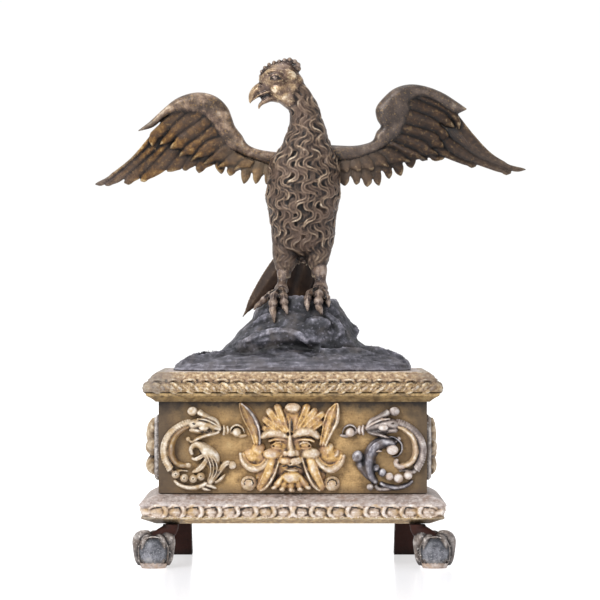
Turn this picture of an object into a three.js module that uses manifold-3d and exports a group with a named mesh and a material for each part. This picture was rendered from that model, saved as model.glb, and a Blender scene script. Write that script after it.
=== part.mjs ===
// Carved and gilt wooden eagle with spread wings, on a painted rock and a giltwood plinth.
// Millimetres, +Z up, front towards -Y. X is measured from the middle of the plinth.
import * as THREE from 'three';
import { mergeVertices } from 'three/addons/utils/BufferGeometryUtils.js';
import Module from 'manifold-3d';

const wasm = await Module();
wasm.setup();

// Driving dimensions
const GAP = 0.3;
const FLOOR = 0;
const CASE_HALF_WIDTH = 195.8;
const CASE_HALF_DEPTH = 130;
const CASE_BOARD = 18;
const BASE_BOTTOM = 63;
const BASE_TOP = 106.9;
const CORNICE_BOTTOM = 253.6;
const PLINTH_TOP = 284.4;
const COVE_BOTTOM = 240.6;
const BASE_MEMBER_DEPTH = 46;
const BASE_LEAF_PITCH = 26.6;
const CORNICE_LEAF_PITCH = 37;
const SIDE_LEAF_STRETCH = 1.5;
const ORNAMENT_CENTRE = 1;
const PLAQUE_BOARD = 8;
const PLAQUE_RISE = { left: 18, right: 13 };
const PLAQUE_HALF_LENGTH = 88;
const PLAQUE_BOTTOM = 124;
const PLAQUE_TOP = 219;
const BALL_RADIUS = 26;
const ROCK_COLUMNS = 22;
const LOCK_COUNT = 13;
const LOCK_RISE = 4.2;
const LOCK_SWING = 5.5;
const LOCK_WAVELENGTH = 43;
const BODY_ROWS = 20;
const WING_SWEEP = 22;
const ROW_ORIGIN_X = 26.5;
const ROW_ORIGIN_Y = -21.5;

const TAU = 2 * Math.PI;
const FRONT = new THREE.Vector3(0, -1, 0);
const HALF_ROUND = [[-1, 0], [-0.55, 0.85], [0.55, 0.85], [1, 0]];
const RIDGE = [[-1, 0], [0, 1], [1, 0]];
const FEATHER = [[-1, 0], [0.15, 1], [1, 0], [0, -0.8]];

const vec = (x, y, z) => new THREE.Vector3(x, y, z);
const smooth = (low, high, value) => THREE.MathUtils.smoothstep(value, low, high);
const hump = (offset, spread) => Math.exp(-((offset / spread) ** 2));

// A size that runs from start through middle to end along a length
function swell(start, middle, end) {
  const bend = 2 * middle - (start + end) / 2;
  return (t) => start * (1 - t) ** 2 + 2 * bend * t * (1 - t) + end * t * t;
}

function through(points) {
  return new THREE.CatmullRomCurve3(points, false, 'catmullrom', 0.5);
}

// Closed solids from rings of points, with their faces pointing out
function closedBody(points, faces) {
  const signed = faces.reduce((sum, [a, b, c]) => (
    sum + points[a].dot(new THREE.Vector3().crossVectors(points[b], points[c]))), 0);
  const outward = signed < 0 ? faces.map(([a, b, c]) => [a, c, b]) : faces;
  const geometry = new THREE.BufferGeometry().setFromPoints(points);
  return geometry.setIndex(outward.flat());
}

function middleOf(ring) {
  return ring.reduce((sum, point) => sum.add(point), vec(0, 0, 0)).divideScalar(ring.length);
}

function loft(rings, startApex = middleOf(rings[0]), endApex = middleOf(rings.at(-1))) {
  const size = rings[0].length;
  const points = [...rings.flat(), startApex, endApex];
  const faces = [];
  const last = (rings.length - 1) * size;
  for (let side = 0; side < size; side += 1) {
    const next = (side + 1) % size;
    for (let base = 0; base < last; base += size) {
      faces.push([base + side, base + next, base + size + next]);
      faces.push([base + side, base + size + next, base + size + side]);
    }
    faces.push([next, side, points.length - 2]);
    faces.push([last + side, last + next, points.length - 1]);
  }
  return closedBody(points, faces);
}

// A carved strand along a path: the section's first number is across it, the second is away from its ground
function strand(path, steps, halfWidth, rise, section = HALF_ROUND, outward = FRONT) {
  const rings = [];
  for (let step = 0; step <= steps; step += 1) {
    const t = step / steps;
    const centre = path.getPoint(t);
    const side = new THREE.Vector3().crossVectors(path.getTangent(t), outward).normalize();
    rings.push(section.map(([across, up]) => centre.clone()
      .addScaledVector(side, across * halfWidth(t))
      .addScaledVector(outward, up * rise(t))));
  }
  return loft(rings);
}

// A round limb through stations of centre and radius
function limb(stations, sides, steps, flatten = 1) {
  const path = through(stations.map(([x, y, z]) => vec(x, y, z)));
  const radii = through(stations.map(([, , , radius]) => vec(radius, 0, 0)));
  const rings = [];
  for (let step = 0; step <= steps; step += 1) {
    const t = step / steps;
    const centre = path.getPoint(t);
    const along = path.getTangent(t);
    const across = new THREE.Vector3().crossVectors(along, Math.abs(along.y) > 0.9 ? vec(1, 0, 0) : FRONT);
    across.normalize();
    const up = new THREE.Vector3().crossVectors(across, along);
    const radius = radii.getPoint(t).x;
    rings.push(Array.from({ length: sides }, (_, side) => centre.clone()
      .addScaledVector(across, radius * Math.cos((TAU * side) / sides))
      .addScaledVector(up, radius * flatten * Math.sin((TAU * side) / sides))));
  }
  return loft(rings);
}

function knob(x, y, z, radius, flatten = 1) {
  return new THREE.OctahedronGeometry(radius, 0).scale(1, flatten, 1).translate(x, y, z);
}

function block(xs, ys, zs) {
  const box = new THREE.BoxGeometry(xs[1] - xs[0], ys[1] - ys[0], zs[1] - zs[0]);
  return box.translate((xs[0] + xs[1]) / 2, (ys[0] + ys[1]) / 2, (zs[0] + zs[1]) / 2);
}

function mirrored(geometry, middle = 0) {
  const copy = mergeVertices(bare(geometry), 1e-4);
  const position = copy.getAttribute('position');
  const points = Array.from({ length: position.count }, (_, i) => (
    vec(2 * middle - position.getX(i), position.getY(i), position.getZ(i))));
  const corners = Array.from(copy.index.array);
  const faces = Array.from({ length: corners.length / 3 }, (_, i) => corners.slice(3 * i, 3 * i + 3));
  return closedBody(points, faces);
}

// Joining and cutting
function bare(geometry) {
  const copy = new THREE.BufferGeometry().setAttribute('position', geometry.getAttribute('position'));
  return copy.setIndex(geometry.index);
}

function solidOf(geometry) {
  const merged = mergeVertices(bare(geometry), 1e-4);
  return new wasm.Manifold(new wasm.Mesh({
    numProp: 3,
    vertProperties: new Float32Array(merged.getAttribute('position').array),
    triVerts: new Uint32Array(merged.index.array),
  }));
}

function geometryOf(solid) {
  const mesh = solid.getMesh();
  const geometry = new THREE.BufferGeometry();
  geometry.setAttribute('position', new THREE.BufferAttribute(mesh.vertProperties, 3));
  return geometry.setIndex(new THREE.BufferAttribute(mesh.triVerts, 1));
}

function joined(geometries) {
  return geometries.map(solidOf).reduce((whole, piece) => whole.add(piece));
}

// The outer skin of the largest piece: pockets sealed between joined parts are filled, and loose chips go
function outerSkin(solid) {
  return solid.decompose().reduce((best, piece) => (piece.volume() > best.volume() ? piece : best));
}

// The carved rock: rings from the plinth up to the ledge that the bird stands on
const ROCK_LEVELS = [
  { z: PLINTH_TOP + GAP, left: -180, right: 177, front: -118, back: 106, square: 3.2 },
  { z: 295, left: -173, right: 175, front: -117, back: 104, square: 2.8 },
  { z: 306, left: -156, right: 164, front: -111, back: 92, square: 1.9 },
  { z: 309, left: -111, right: 156, front: -104, back: 84, square: 1.9 },
  { z: 316, left: -104, right: 114, front: -90, back: 76, square: 2.2 },
  { z: 330, left: -90, right: 95, front: -90, back: 68, square: 2.3 },
  { z: 344, left: -79, right: 91, front: -80, back: 60, square: 2.3 },
  { z: 359, left: -61, right: 85, front: -66, back: 52, square: 2.3 },
  { z: 374, left: -56, right: 74, front: -58, back: 44, square: 2.4 },
  { z: 384, left: -46, right: 69, front: -50, back: 38, square: 2.4 },
  { z: 391, left: -28, right: 65, front: -40, back: 32, square: 2.2 },
];
const FOLD = { middle: -12, crest: 340, fall: 18, reach: 62, rise: 8, hollow: 13 };

function foldOffset(x, z) {
  const crest = FOLD.crest - FOLD.fall * ((x - FOLD.middle) / FOLD.reach) ** 2;
  const along = hump(x - FOLD.middle, FOLD.reach);
  return along * (FOLD.rise * hump(z - crest, 8) - FOLD.hollow * hump(z - crest + 19, 9));
}

function rockGeometry(clearance) {
  const rings = ROCK_LEVELS.map((level, index) => {
    const middleX = (level.left + level.right) / 2;
    const middleY = (level.front + level.back) / 2;
    return Array.from({ length: ROCK_COLUMNS }, (_, column) => {
      const angle = (TAU * column) / ROCK_COLUMNS;
      const power = 2 / level.square;
      const cos = Math.sign(Math.cos(angle)) * Math.abs(Math.cos(angle)) ** power;
      const sin = Math.sign(Math.sin(angle)) * Math.abs(Math.sin(angle)) ** power;
      const x = middleX + cos * (level.right - level.left) / 2;
      const y = middleY + sin * (level.back - level.front) / 2;
      const facing = smooth(0, 0.7, -sin);
      const crag = 2.2 * Math.sin(3 * angle + index * 1.9) + 1.6 * Math.sin(7 * angle - index * 1.3);
      const within = index === 0 ? 0 : 1 - Math.abs(cos) ** 4;
      const out = clearance + within * crag + facing * foldOffset(x, level.z);
      return vec(x + out * Math.cos(angle), y + out * Math.sin(angle), level.z + clearance);
    });
  });
  const top = vec(18, -2, ROCK_LEVELS.at(-1).z + 1 + clearance);
  return loft(rings, middleOf(rings[0]), top);
}

// The trunk: outline stations from the crown of the head down to the fork of the legs
const TRUNK = [
  { z: 751, left: -22, right: -6, front: -5, back: 5 },
  { z: 744, left: -39, right: 3, front: -15, back: 15 },
  { z: 733, left: -47, right: 9, front: -19, back: 19 },
  { z: 718, left: -51, right: 17, front: -20, back: 20 },
  { z: 703, left: -44, right: 26, front: -20, back: 21 },
  { z: 692, left: -33, right: 33, front: -21, back: 22 },
  { z: 680, left: -15, right: 38, front: -22, back: 23 },
  { z: 664, left: -6, right: 43, front: -24, back: 25 },
  { z: 645, left: -9, right: 50, front: -30, back: 29 },
  { z: 622, left: -17, right: 57, front: -40, back: 34 },
  { z: 597, left: -35, right: 68, front: -50, back: 40 },
  { z: 570, left: -39, right: 71, front: -55, back: 43 },
  { z: 542, left: -42, right: 72, front: -55, back: 44 },
  { z: 512, left: -36, right: 65, front: -50, back: 43 },
  { z: 482, left: -33, right: 63, front: -43, back: 40 },
  { z: 464, left: -26, right: 56, front: -33, back: 34 },
  { z: 454, left: -2, right: 34, front: -15, back: 20 },
];

// How far the wavy locks stand out: none on the smooth face and crown
function lockDepth(angle, z) {
  const toBeak = Math.cos(angle);
  const start = 688 + 14 * toBeak;
  return LOCK_RISE * (1 - smooth(start - 14, start + 12, z)) * smooth(452, 466, z);
}

function trunkGeometry(clearance) {
  const edge = Object.fromEntries(['left', 'right', 'front', 'back'].map((name) => (
    [name, through(TRUNK.map((station) => vec(station[name], 0, station.z)))])));
  const columns = 2 * LOCK_COUNT;
  const rings = [];
  for (let row = 0; row <= BODY_ROWS; row += 1) {
    const t = row / BODY_ROWS;
    const { x: left, z } = edge.left.getPoint(t);
    const right = edge.right.getPoint(t).x;
    const front = edge.front.getPoint(t).x;
    const back = edge.back.getPoint(t).x;
    const reachX = (right - left) / 2;
    const reachY = (back - front) / 2;
    rings.push(Array.from({ length: columns }, (_, column) => {
      const plain = (TAU * column) / columns;
      const depth = lockDepth(plain, z);
      const wave = Math.sin((TAU * z) / LOCK_WAVELENGTH + 0.9 * Math.sin(3 * plain));
      const angle = plain + (depth / LOCK_RISE) * (LOCK_SWING / Math.max(reachX, 30)) * wave;
      const pulse = 0.75 + 0.25 * Math.cos((TAU * z) / 61 + column * 1.7);
      const carve = column % 2 === 0 ? depth * pulse * 0.5 : -depth * 0.5;
      const out = carve + clearance;
      return vec(
        (left + right) / 2 + (reachX + out) * Math.cos(angle),
        (front + back) / 2 + (reachY + out) * Math.sin(angle),
        z,
      );
    }));
  }
  return loft(rings);
}

// A leg: feathered thigh, bare shank and toes that grip the rock
const LEGS = [
  {
    thigh: [[-6, -2, 500, 24], [-11, -8, 462, 19], [-12, -12, 440, 14], [-13, -14, 430, 9]],
    shank: [[-13, -14, 438, 9], [-16, -20, 416, 8.5], [-18, -27, 402, 10]],
    toes: [
      [[-20, -28, 402, 7], [-36, -34, 394, 6], [-50, -36, 382, 5], [-58, -38, 374, 1.5]],
      [[-20, -32, 402, 7], [-28, -52, 392, 7], [-30, -63, 374, 6.5], [-27, -66, 355, 2]],
      [[-16, -32, 402, 7], [-14, -54, 391, 7], [-12, -62, 378, 5.5], [-8, -64, 367, 2]],
      [[-18, -22, 402, 6], [-15, 0, 394, 5.5], [-13, 12, 388, 2]],
    ],
  },
  {
    thigh: [[35, -2, 500, 25], [36, -8, 462, 20], [37, -12, 442, 13], [38, -14, 432, 9]],
    shank: [[39, -14, 440, 10], [41, -20, 418, 10], [41, -27, 403, 10]],
    toes: [
      [[36, -32, 403, 6.5], [24, -50, 396, 6.5], [21, -60, 384, 5.5], [22, -63, 372, 2]],
      [[40, -32, 403, 7], [38, -54, 394, 7.5], [38, -64, 378, 6.5], [43, -66, 366, 2]],
      [[43, -28, 403, 6.5], [48, -42, 396, 6.5], [52, -50, 386, 5], [53, -54, 378, 2]],
      [[40, -22, 403, 6], [41, 0, 395, 5.5], [42, 12, 389, 2]],
    ],
  },
];

function thighGeometry(stations) {
  const path = through(stations.map(([x, y, z]) => vec(x, y, z)));
  const radii = through(stations.map(([, , , radius]) => vec(radius, 0, 0)));
  const columns = 10;
  const rows = 4;
  const rings = Array.from({ length: rows + 1 }, (_, row) => {
    const centre = path.getPoint(row / rows);
    const radius = radii.getPoint(row / rows).x;
    return Array.from({ length: columns }, (__, column) => {
      const wave = Math.sin((TAU * centre.z) / LOCK_WAVELENGTH);
      const angle = (TAU * column) / columns + (LOCK_SWING / 30) * wave;
      const out = radius + (column % 2 === 0 ? LOCK_RISE / 2 : -LOCK_RISE / 2) * smooth(430, 440, centre.z);
      return vec(centre.x + out * Math.cos(angle), centre.y + out * Math.sin(angle), centre.z);
    });
  });
  return loft(rings);
}

function headDetails() {
  const upperBeak = limb([[-34, 0, 706, 13], [-47, 0, 704, 11.5], [-57, 0, 697, 8.5], [-63, 0, 689, 4.5],
    [-64.5, 0, 682, 1.5]], 6, 4, 0.85);
  const lowerBeak = limb([[-22, 0, 696, 9], [-36, 0, 691, 7], [-46, 0, 684, 5], [-52, 0, 675, 1.5]], 5, 3, 1.2);
  const crestPlaces = [[-46, 730], [-41, 738], [-34, 743.5], [-26, 747], [-17, 749], [-7, 749.5], [3, 747],
    [9, 739]];
  const crest = crestPlaces.map(([x, z]) => knob(x, 0, z, 4.6));
  const eyes = [-1, 1].map((side) => knob(-26, side * 18.5, 721, 4.5, 0.6));
  const brows = [-1, 1].map((side) => limb([[-40, side * 14, 722, 3], [-30, side * 17, 728, 3.5],
    [-17, side * 17, 727, 2.5]], 4, 2));
  return [upperBeak, lowerBeak, ...crest, ...eyes, ...brows];
}

function eagleSolid() {
  const pieces = [trunkGeometry(0), ...headDetails()];
  LEGS.forEach((leg) => {
    pieces.push(thighGeometry(leg.thigh), limb(leg.shank, 5, 2));
    leg.toes.forEach((toe) => pieces.push(limb(toe, 4, 3)));
  });
  return joined(pieces).subtract(solidOf(rockGeometry(GAP + 0.05)));
}

// Wings: a thick arm whose stations run from the body to the thumb feather as [upper x, z, lower x, z], and
// two fans. An edge lists the feather tips with the notches between them, leading is its first front edge.
const WINGS = {
  left: {
    shoulder: -38,
    arm: [[-24, 611, -24, 574], [-46, 614, -46, 582], [-61, 618.5, -66, 588], [-70, 625, -84, 596],
      [-77, 637, -98, 604], [-87, 650, -112, 616], [-92, 664, -122, 626], [-98, 678, -132, 634],
      [-110, 691, -142, 641], [-125, 698.5, -152, 647], [-142, 701, -163, 650], [-160, 698, -176, 651],
      [-178, 690, -190, 651], [-197, 674.5, -204, 649], [-216, 657, -219, 645.5], [-233.5, 644, -232, 642]],
    feathers: {
      leading: [[-186, 672], [-257, 597], [-299, 564]],
      roots: [[-186, 672], [-150, 662], [-104, 634], [-44, 594]],
      edge: [[-299, 562.5], [-283, 563.5], [-277, 560.5], [-254, 571.5], [-248, 562], [-230, 572.5],
        [-224, 566], [-191, 584.5], [-183, 581.5], [-167, 586.5], [-161, 583], [-147.5, 590.5],
        [-141.5, 579.5], [-119, 592.5], [-108, 578], [-101, 586.5], [-95, 575], [-80, 583.5], [-74, 563],
        [-62, 576], [-56, 563], [-44, 575.5]],
    },
    coverts: {
      leading: [[-158, 684], [-188, 654], [-213, 630]],
      roots: [[-158, 684], [-126, 662], [-104, 640], [-62, 602]],
      edge: [[-213, 630], [-204, 633], [-197, 615], [-186, 620], [-178, 604], [-168, 609], [-157, 601],
        [-145, 608], [-133, 602], [-121, 608], [-109, 599], [-98, 603], [-86, 590]],
    },
  },
  right: {
    shoulder: 66,
    arm: [[52, 622, 52, 586], [88, 620.5, 88, 588], [108, 623.5, 120, 597], [120, 629, 148, 606],
      [125, 641, 166, 621], [131.5, 650, 177, 633], [126, 660, 184, 643], [124, 676, 191, 650],
      [134, 691, 198, 656], [152, 706.5, 205, 661], [175, 713, 213, 666], [200, 710, 224, 669],
      [225, 700.5, 237, 672], [246, 687.5, 250, 675], [262, 676.5, 260.5, 675]],
    feathers: {
      leading: [[230, 694], [298, 619], [352, 588]],
      roots: [[230, 694], [182, 664], [146, 622], [74, 588]],
      edge: [[352, 585.5], [340, 581.5], [329, 583.5], [322, 577], [277, 592.5], [269.5, 587.5],
        [230, 602.5], [215, 597.5], [204.5, 601.5], [195, 597.5], [186, 602.5], [179, 587],
        [167, 593.5], [162.5, 575], [150.5, 583.5], [144.5, 570.5], [134, 581.5], [129.5, 560],
        [120.5, 569.5], [111.5, 558.5], [102.5, 569.5], [95, 561.5], [87, 572.5], [78, 560], [66, 570.5]],
    },
    coverts: {
      leading: [[196, 700], [222, 676], [245, 650]],
      roots: [[196, 700], [172, 668], [150, 632], [84, 606]],
      edge: [[245, 650], [238, 650], [236, 632], [225, 634], [220, 614], [206, 616], [196, 602], [180, 606],
        [166, 596], [152, 600], [138, 590], [124, 596], [110, 586], [96, 592], [86, 588]],
    },
  },
};
const FAN_STEPS = 1;

function wingDepth(wing, x, base) {
  return base + WING_SWEEP * ((x - wing.shoulder) / 300) ** 2;
}

// A fan of feathers side by side: each rises to a ridge at its tip and falls to the notch beside it
function featherFan(wing, { leading, roots, edge }, base, rise, thickness) {
  const flat = (points) => through(points.map(([x, z]) => vec(x, 0, z)));
  const rootLine = flat(roots);
  const rings = edge.map(([x, z], index) => {
    const root = rootLine.getPoint(index / (edge.length - 1));
    const line = index === 0 ? flat(leading) : new THREE.LineCurve3(root, vec(x, 0, z));
    const ridge = index % 2 === 0 ? rise : 0;
    const at = (t, out) => {
      const point = line.getPoint(t);
      return vec(point.x, wingDepth(wing, point.x, base) + out, point.z);
    };
    const shares = Array.from({ length: FAN_STEPS + 1 }, (_, step) => step / FAN_STEPS);
    return [
      ...shares.map((t) => at(t, -ridge * (0.3 + 0.7 * t))),
      at(1, 0.8 * thickness),
      at(0.5, thickness),
      at(0, thickness),
    ];
  });
  return loft(rings);
}

function armGeometry(wing) {
  return loft(wing.arm.map(([upperX, upperZ, lowerX, lowerZ]) => {
    const rise = Math.min(12, 0.4 * Math.hypot(lowerX - upperX, lowerZ - upperZ));
    return [[0, 0], [0.22, -1], [0.75, -0.8], [1, 0], [0.5, 0.8]].map(([share, out]) => {
      const x = THREE.MathUtils.lerp(upperX, lowerX, share);
      return vec(x, wingDepth(wing, x, 4 + out * rise), THREE.MathUtils.lerp(upperZ, lowerZ, share));
    });
  }));
}

function wingSolid(wing) {
  const feathers = featherFan(wing, wing.feathers, 6, 3.5, 5);
  const coverts = featherFan(wing, wing.coverts, 0, 4, 9);
  return joined([armGeometry(wing), feathers, coverts]).subtract(solidOf(trunkGeometry(GAP)));
}

// The tail: flat feathers hanging behind the legs and the rock
const TAIL = {
  root: [[10, 30, 486], [18, 30, 486], [28, 30, 486], [38, 30, 486]],
  tip: [[-77, 66, 363], [-44, 68, 342], [-8, 69, 338], [30, 68, 350]],
  halfWidth: [11.5, 15, 15, 13],
};

function tailSolid() {
  const feathers = TAIL.tip.map((tip, index) => {
    const root = vec(...TAIL.root[index]);
    const end = vec(...tip);
    const path = through([root, root.clone().lerp(end, 0.5), end]);
    return strand(path, 2, swell(8, TAIL.halfWidth[index], 2), swell(3.5, 3, 1.5), FEATHER);
  });
  return joined(feathers)
    .subtract(solidOf(trunkGeometry(GAP)))
    .subtract(solidOf(rockGeometry(GAP + 0.05)));
}

// Moulded members of the plinth. A profile point is [distance out from the face of the case, height].
const BASE_PROFILE = [[-CASE_BOARD, BASE_BOTTOM], [0, BASE_BOTTOM], [12, 70.5], [25, 75.5], [28.8, 87],
  [23.5, 96], [8, 103.5], [-CASE_BOARD, BASE_TOP]];
const BASE_LEAF_POINT = 4;
const BASE_LEAF_NOTCH = 4.5;
const COVE_PROFILE = [[GAP, COVE_BOTTOM], [4, COVE_BOTTOM], [7, 243.4], [11, 246.3], [17, 249.6],
  [18.5, CORNICE_BOTTOM - GAP], [GAP, CORNICE_BOTTOM - GAP]];
const CORNICE_PROFILE = [[18, CORNICE_BOTTOM], [18, 268.4], [13, 269.6], [14.5, 271.4], [9.5, 278.5],
  [2, PLINTH_TOP]];

// Where a point lies that is run along a side of the case, out from its face and up
const SIDES = {
  front: (run, out, z) => vec(run, -CASE_HALF_DEPTH - out, z),
  left: (run, out, z) => vec(-CASE_HALF_WIDTH - out, run, z),
  right: (run, out, z) => vec(CASE_HALF_WIDTH + out, run, z),
};

function ends(side, out, mitreGap) {
  if (side === 'front') {
    return [-CASE_HALF_WIDTH - out + mitreGap, CASE_HALF_WIDTH + out - mitreGap];
  }
  return [-CASE_HALF_DEPTH - out + mitreGap, CASE_HALF_DEPTH];
}

// A member with mitred ends. profileAt(step) gives its section at each station; apex is a point inside it.
function moulding(side, profileAt, steps, apex, mitreGap = GAP / 2) {
  const rings = Array.from({ length: steps + 1 }, (_, step) => profileAt(step).map(([out, z]) => {
    const [from, to] = ends(side, out, mitreGap);
    return SIDES[side](THREE.MathUtils.lerp(from, to, step / steps), out, z);
  }));
  const apexes = [0, 1].map((end) => SIDES[side](ends(side, apex[0], mitreGap)[end], ...apex));
  return loft(rings, ...apexes);
}

function leafCount(side, pitch) {
  const [from, to] = ends(side, 0, 0);
  return Math.round((to - from) / (side === 'front' ? pitch : pitch * SIDE_LEAF_STRETCH));
}

// The leaf row of the base: its edge stands out at each leaf and is notched between them
function baseMember(side) {
  const profileAt = (step) => BASE_PROFILE.map(([out, z], point) => (
    point === BASE_LEAF_POINT && step % 2 === 1 ? [out - BASE_LEAF_NOTCH, z] : [out, z]));
  return moulding(side, profileAt, 2 * leafCount(side, BASE_LEAF_PITCH), [0, 85]);
}

// The cornice's slanting leaves: a three-sided strip whose edge swells at each leaf
function corniceLeaves(side) {
  const steps = 2 * leafCount(side, CORNICE_LEAF_PITCH);
  const profileAt = (step) => [[17, 254.2], [step % 2 === 0 ? 25 : 20.5, 259.5], [17, 268]];
  return moulding(side, profileAt, steps, [18, 261], 0);
}

function topBoard() {
  const rings = CORNICE_PROFILE.map(([out, z]) => [
    vec(-CASE_HALF_WIDTH - out, -CASE_HALF_DEPTH - out, z),
    vec(CASE_HALF_WIDTH + out, -CASE_HALF_DEPTH - out, z),
    vec(CASE_HALF_WIDTH + out, CASE_HALF_DEPTH, z),
    vec(-CASE_HALF_WIDTH - out, CASE_HALF_DEPTH, z),
  ]);
  return joined([loft(rings), ...Object.keys(SIDES).map(corniceLeaves)]);
}

// Carved ornament on the front board, drawn in X and Z on the board's face
const ORNAMENT_GROUND = -CASE_HALF_DEPTH - GAP;
const onFront = (points) => through(points.map(([x, z]) => vec(x, ORNAMENT_GROUND, z)));

// A low boss on the front board: a ring on the ground, a smaller one above it and a point
function boss(x, z, radius, rise, sides = 6) {
  const ring = (scale, up) => Array.from({ length: sides }, (_, side) => vec(
    x + scale * radius * Math.cos((TAU * (side + 0.5)) / sides),
    ORNAMENT_GROUND - up * rise,
    z + scale * radius * Math.sin((TAU * (side + 0.5)) / sides),
  ));
  return loft([ring(1, 0), ring(0.65, 0.85)], undefined, vec(x, ORNAMENT_GROUND - rise, z));
}

function ribbon(points, steps, width, rise, section = RIDGE) {
  return strand(onFront(points), steps, swell(...width), swell(...rise), section);
}

// Dolphin head, scrolled neck, a string of beads and acanthus that curls inside
function dolphinScroll() {
  const necklace = [[-170, 137], [-158, 130], [-146, 129], [-134, 133]];
  return joined([
    ribbon([[-128, 207], [-148, 206], [-167, 197], [-179, 180], [-182, 162], [-176, 146], [-168, 138]],
      5, [7, 10, 4], [12, 12, 6], HALF_ROUND),
    ribbon([[-178, 158], [-168, 147], [-150, 145]], 2, [4, 5, 2], [11, 12, 5]),
    ribbon([[-176, 131], [-166, 120], [-150, 115], [-134, 118], [-117, 127]], 4, [2, 4.5, 4], [4, 8, 8]),
    ribbon([[-120, 120], [-111, 137], [-108, 155], [-113, 171], [-124, 179], [-137, 179], [-145, 171],
      [-142, 163]], 6, [4, 9, 3], [8, 15, 7]),
    ribbon([[-122, 160], [-128, 149], [-138, 142], [-148, 140]], 2, [6, 6, 2], [8, 9, 4]),
    ribbon([[-116, 129], [-106, 143], [-92, 148]], 2, [3, 4, 5], [6, 8, 10]),
    ribbon([[-128, 120], [-112, 113]], 1, [3, 5, 2], [6, 7, 4]),
    ribbon([[-152, 205], [-134, 209], [-117, 203], [-100, 199]], 2, [6, 9, 3.5], [12, 17, 9], HALF_ROUND),
    ribbon([[-118, 198], [-130, 187], [-146, 184], [-153, 191]], 3, [4, 3.5, 3], [8, 8, 7]),
    ribbon([[-102, 202], [-116, 213], [-131, 220], [-147, 227]], 2, [3, 3, 7], [10, 10, 12]),
    ...necklace.map(([x, z]) => boss(x, z, 6.3, 10, 5)),
    ribbon([[-101, 199], [-96, 199], [-92, 197], [-82, 196], [-66, 194]], 3, [2, 6.5, 2], [8, 10, 4]),
    ribbon([[-172, 139], [-159, 131], [-146, 129], [-122, 140]], 2, [3, 3.5, 3], [3, 3, 3]),
  ]);
}

// Grotesque leaf mask: every leaf springs from the middle of a low domed face
const MASK = {
  middle: -3,
  crownLeaves: [[-35, 227], [-21, 233], [1, 235], [25, 233], [46, 223]],
  beardLeaves: [[-26, 115], [-3, 109], [20, 115]],
  ears: [[[-42, 170], [-56, 205], [-75, 239.5]], [[38, 168], [54, 206], [66, 239]]],
  cheekLeaves: [[[-30, 170], [-50, 153], [-65, 147], [-76, 162]], [[24, 170], [44, 151], [60, 144], [73, 161]]],
  jawLeaves: [[[-12, 160], [-31, 138], [-48, 113]], [[7, 160], [25, 137], [44, 111]]],
  volutes: [[-62, 120], [59, 118]],
};

function leafMask() {
  const { middle } = MASK;
  const pairs = [-1, 1].flatMap((side) => [
    ribbon([[middle + side * 4, 182], [middle + side * 17, 188], [middle + side * 33, 181]], 2, [4, 6, 3],
      [20, 20, 12]),
    boss(middle + side * 17, 175, 5.5, 18, 4),
    boss(middle + side * 21, 162, 12, 18, 4),
  ]);
  return joined([
    boss(middle, 160, 38, 15, 7),
    ...pairs,
    ...MASK.crownLeaves.map(([x, z]) => (
      ribbon([[middle + 0.15 * x, 188], [x * 0.62, (188 + z) / 2], [x, z]], 2, [5, 9.5, 5], [16, 13, 8]))),
    ...MASK.beardLeaves.map(([x, z]) => (
      ribbon([[middle + 0.4 * (x - middle), 134], [x, z]], 1, [8, 9, 8], [14, 12, 7]))),
    ...MASK.ears.map((points) => ribbon(points, 2, [6, 13, 2], [13, 13, 6])),
    ...MASK.cheekLeaves.map((points) => ribbon(points, 2, [8, 9.5, 2], [14, 12, 7])),
    ...MASK.jawLeaves.map((points) => ribbon(points, 2, [7, 9, 7], [20, 14, 8])),
    ...MASK.volutes.flatMap(([x, z]) => [
      boss(x, z, 11, 11, 6),
      ribbon([[0.7 * x, z + 14], [x, z]], 1, [4, 4, 4], [8, 8, 8]),
    ]),
    ribbon([[middle, 192], [middle, 177], [middle, 162]], 2, [3.5, 5, 8], [17, 23, 25]),
    ribbon([[middle - 16, 146], [middle, 149], [middle + 16, 146]], 2, [2.5, 4, 2.5], [17, 21, 17]),
    ribbon([[middle - 12, 139], [middle, 138], [middle + 12, 139]], 2, [2.5, 4, 2.5], [16, 20, 16]),
    boss(middle, 129, 12, 19, 5),
  ]);
}

// End plaques: a bevelled board with two palmettes that grow from a boss
const PALMETTE = {
  middle: 160,
  leaves: [[0, 213], [38, 203], [-38, 203], [74, 176], [-74, 176], [54, 136], [-54, 136], [0, 130]],
};

function plaque(side, rise) {
  const onSide = (out, y, z) => vec(side * (CASE_HALF_WIDTH + GAP + out), y, z);
  const boardRing = (out, inset) => [[-1, -1], [1, -1], [1, 1], [-1, 1]].map(([alongY, alongZ]) => onSide(
    out,
    alongY * (PLAQUE_HALF_LENGTH - inset),
    (PLAQUE_BOTTOM + PLAQUE_TOP) / 2 + alongZ * ((PLAQUE_TOP - PLAQUE_BOTTOM) / 2 - inset),
  ));
  const board = loft([boardRing(0, 0), boardRing(PLAQUE_BOARD - 3, 0), boardRing(PLAQUE_BOARD, 3)]);
  const ground = PLAQUE_BOARD - 1;
  const leaves = PALMETTE.leaves.map(([y, z]) => {
    const reach = Math.hypot(y, z - PALMETTE.middle);
    const path = through([
      onSide(ground, (6 * y) / reach, PALMETTE.middle + (6 * (z - PALMETTE.middle)) / reach),
      onSide(ground, 0.6 * y, PALMETTE.middle + 0.66 * (z - PALMETTE.middle)),
      onSide(ground, y, z),
    ]);
    return strand(path, 2, swell(4, 13, 5), swell(9, rise, 6), RIDGE, vec(side, 0, 0));
  });
  return joined([board, ...leaves]);
}

// Front foot: claws of an eagle or lion that hold a ball, and a neck that leans in under the plinth
const FOOT = {
  middleX: -202,
  pairMiddle: 2,
  middleY: -147,
  clawAngles: [180, 0, 90],
  sole: 18,
};

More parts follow.
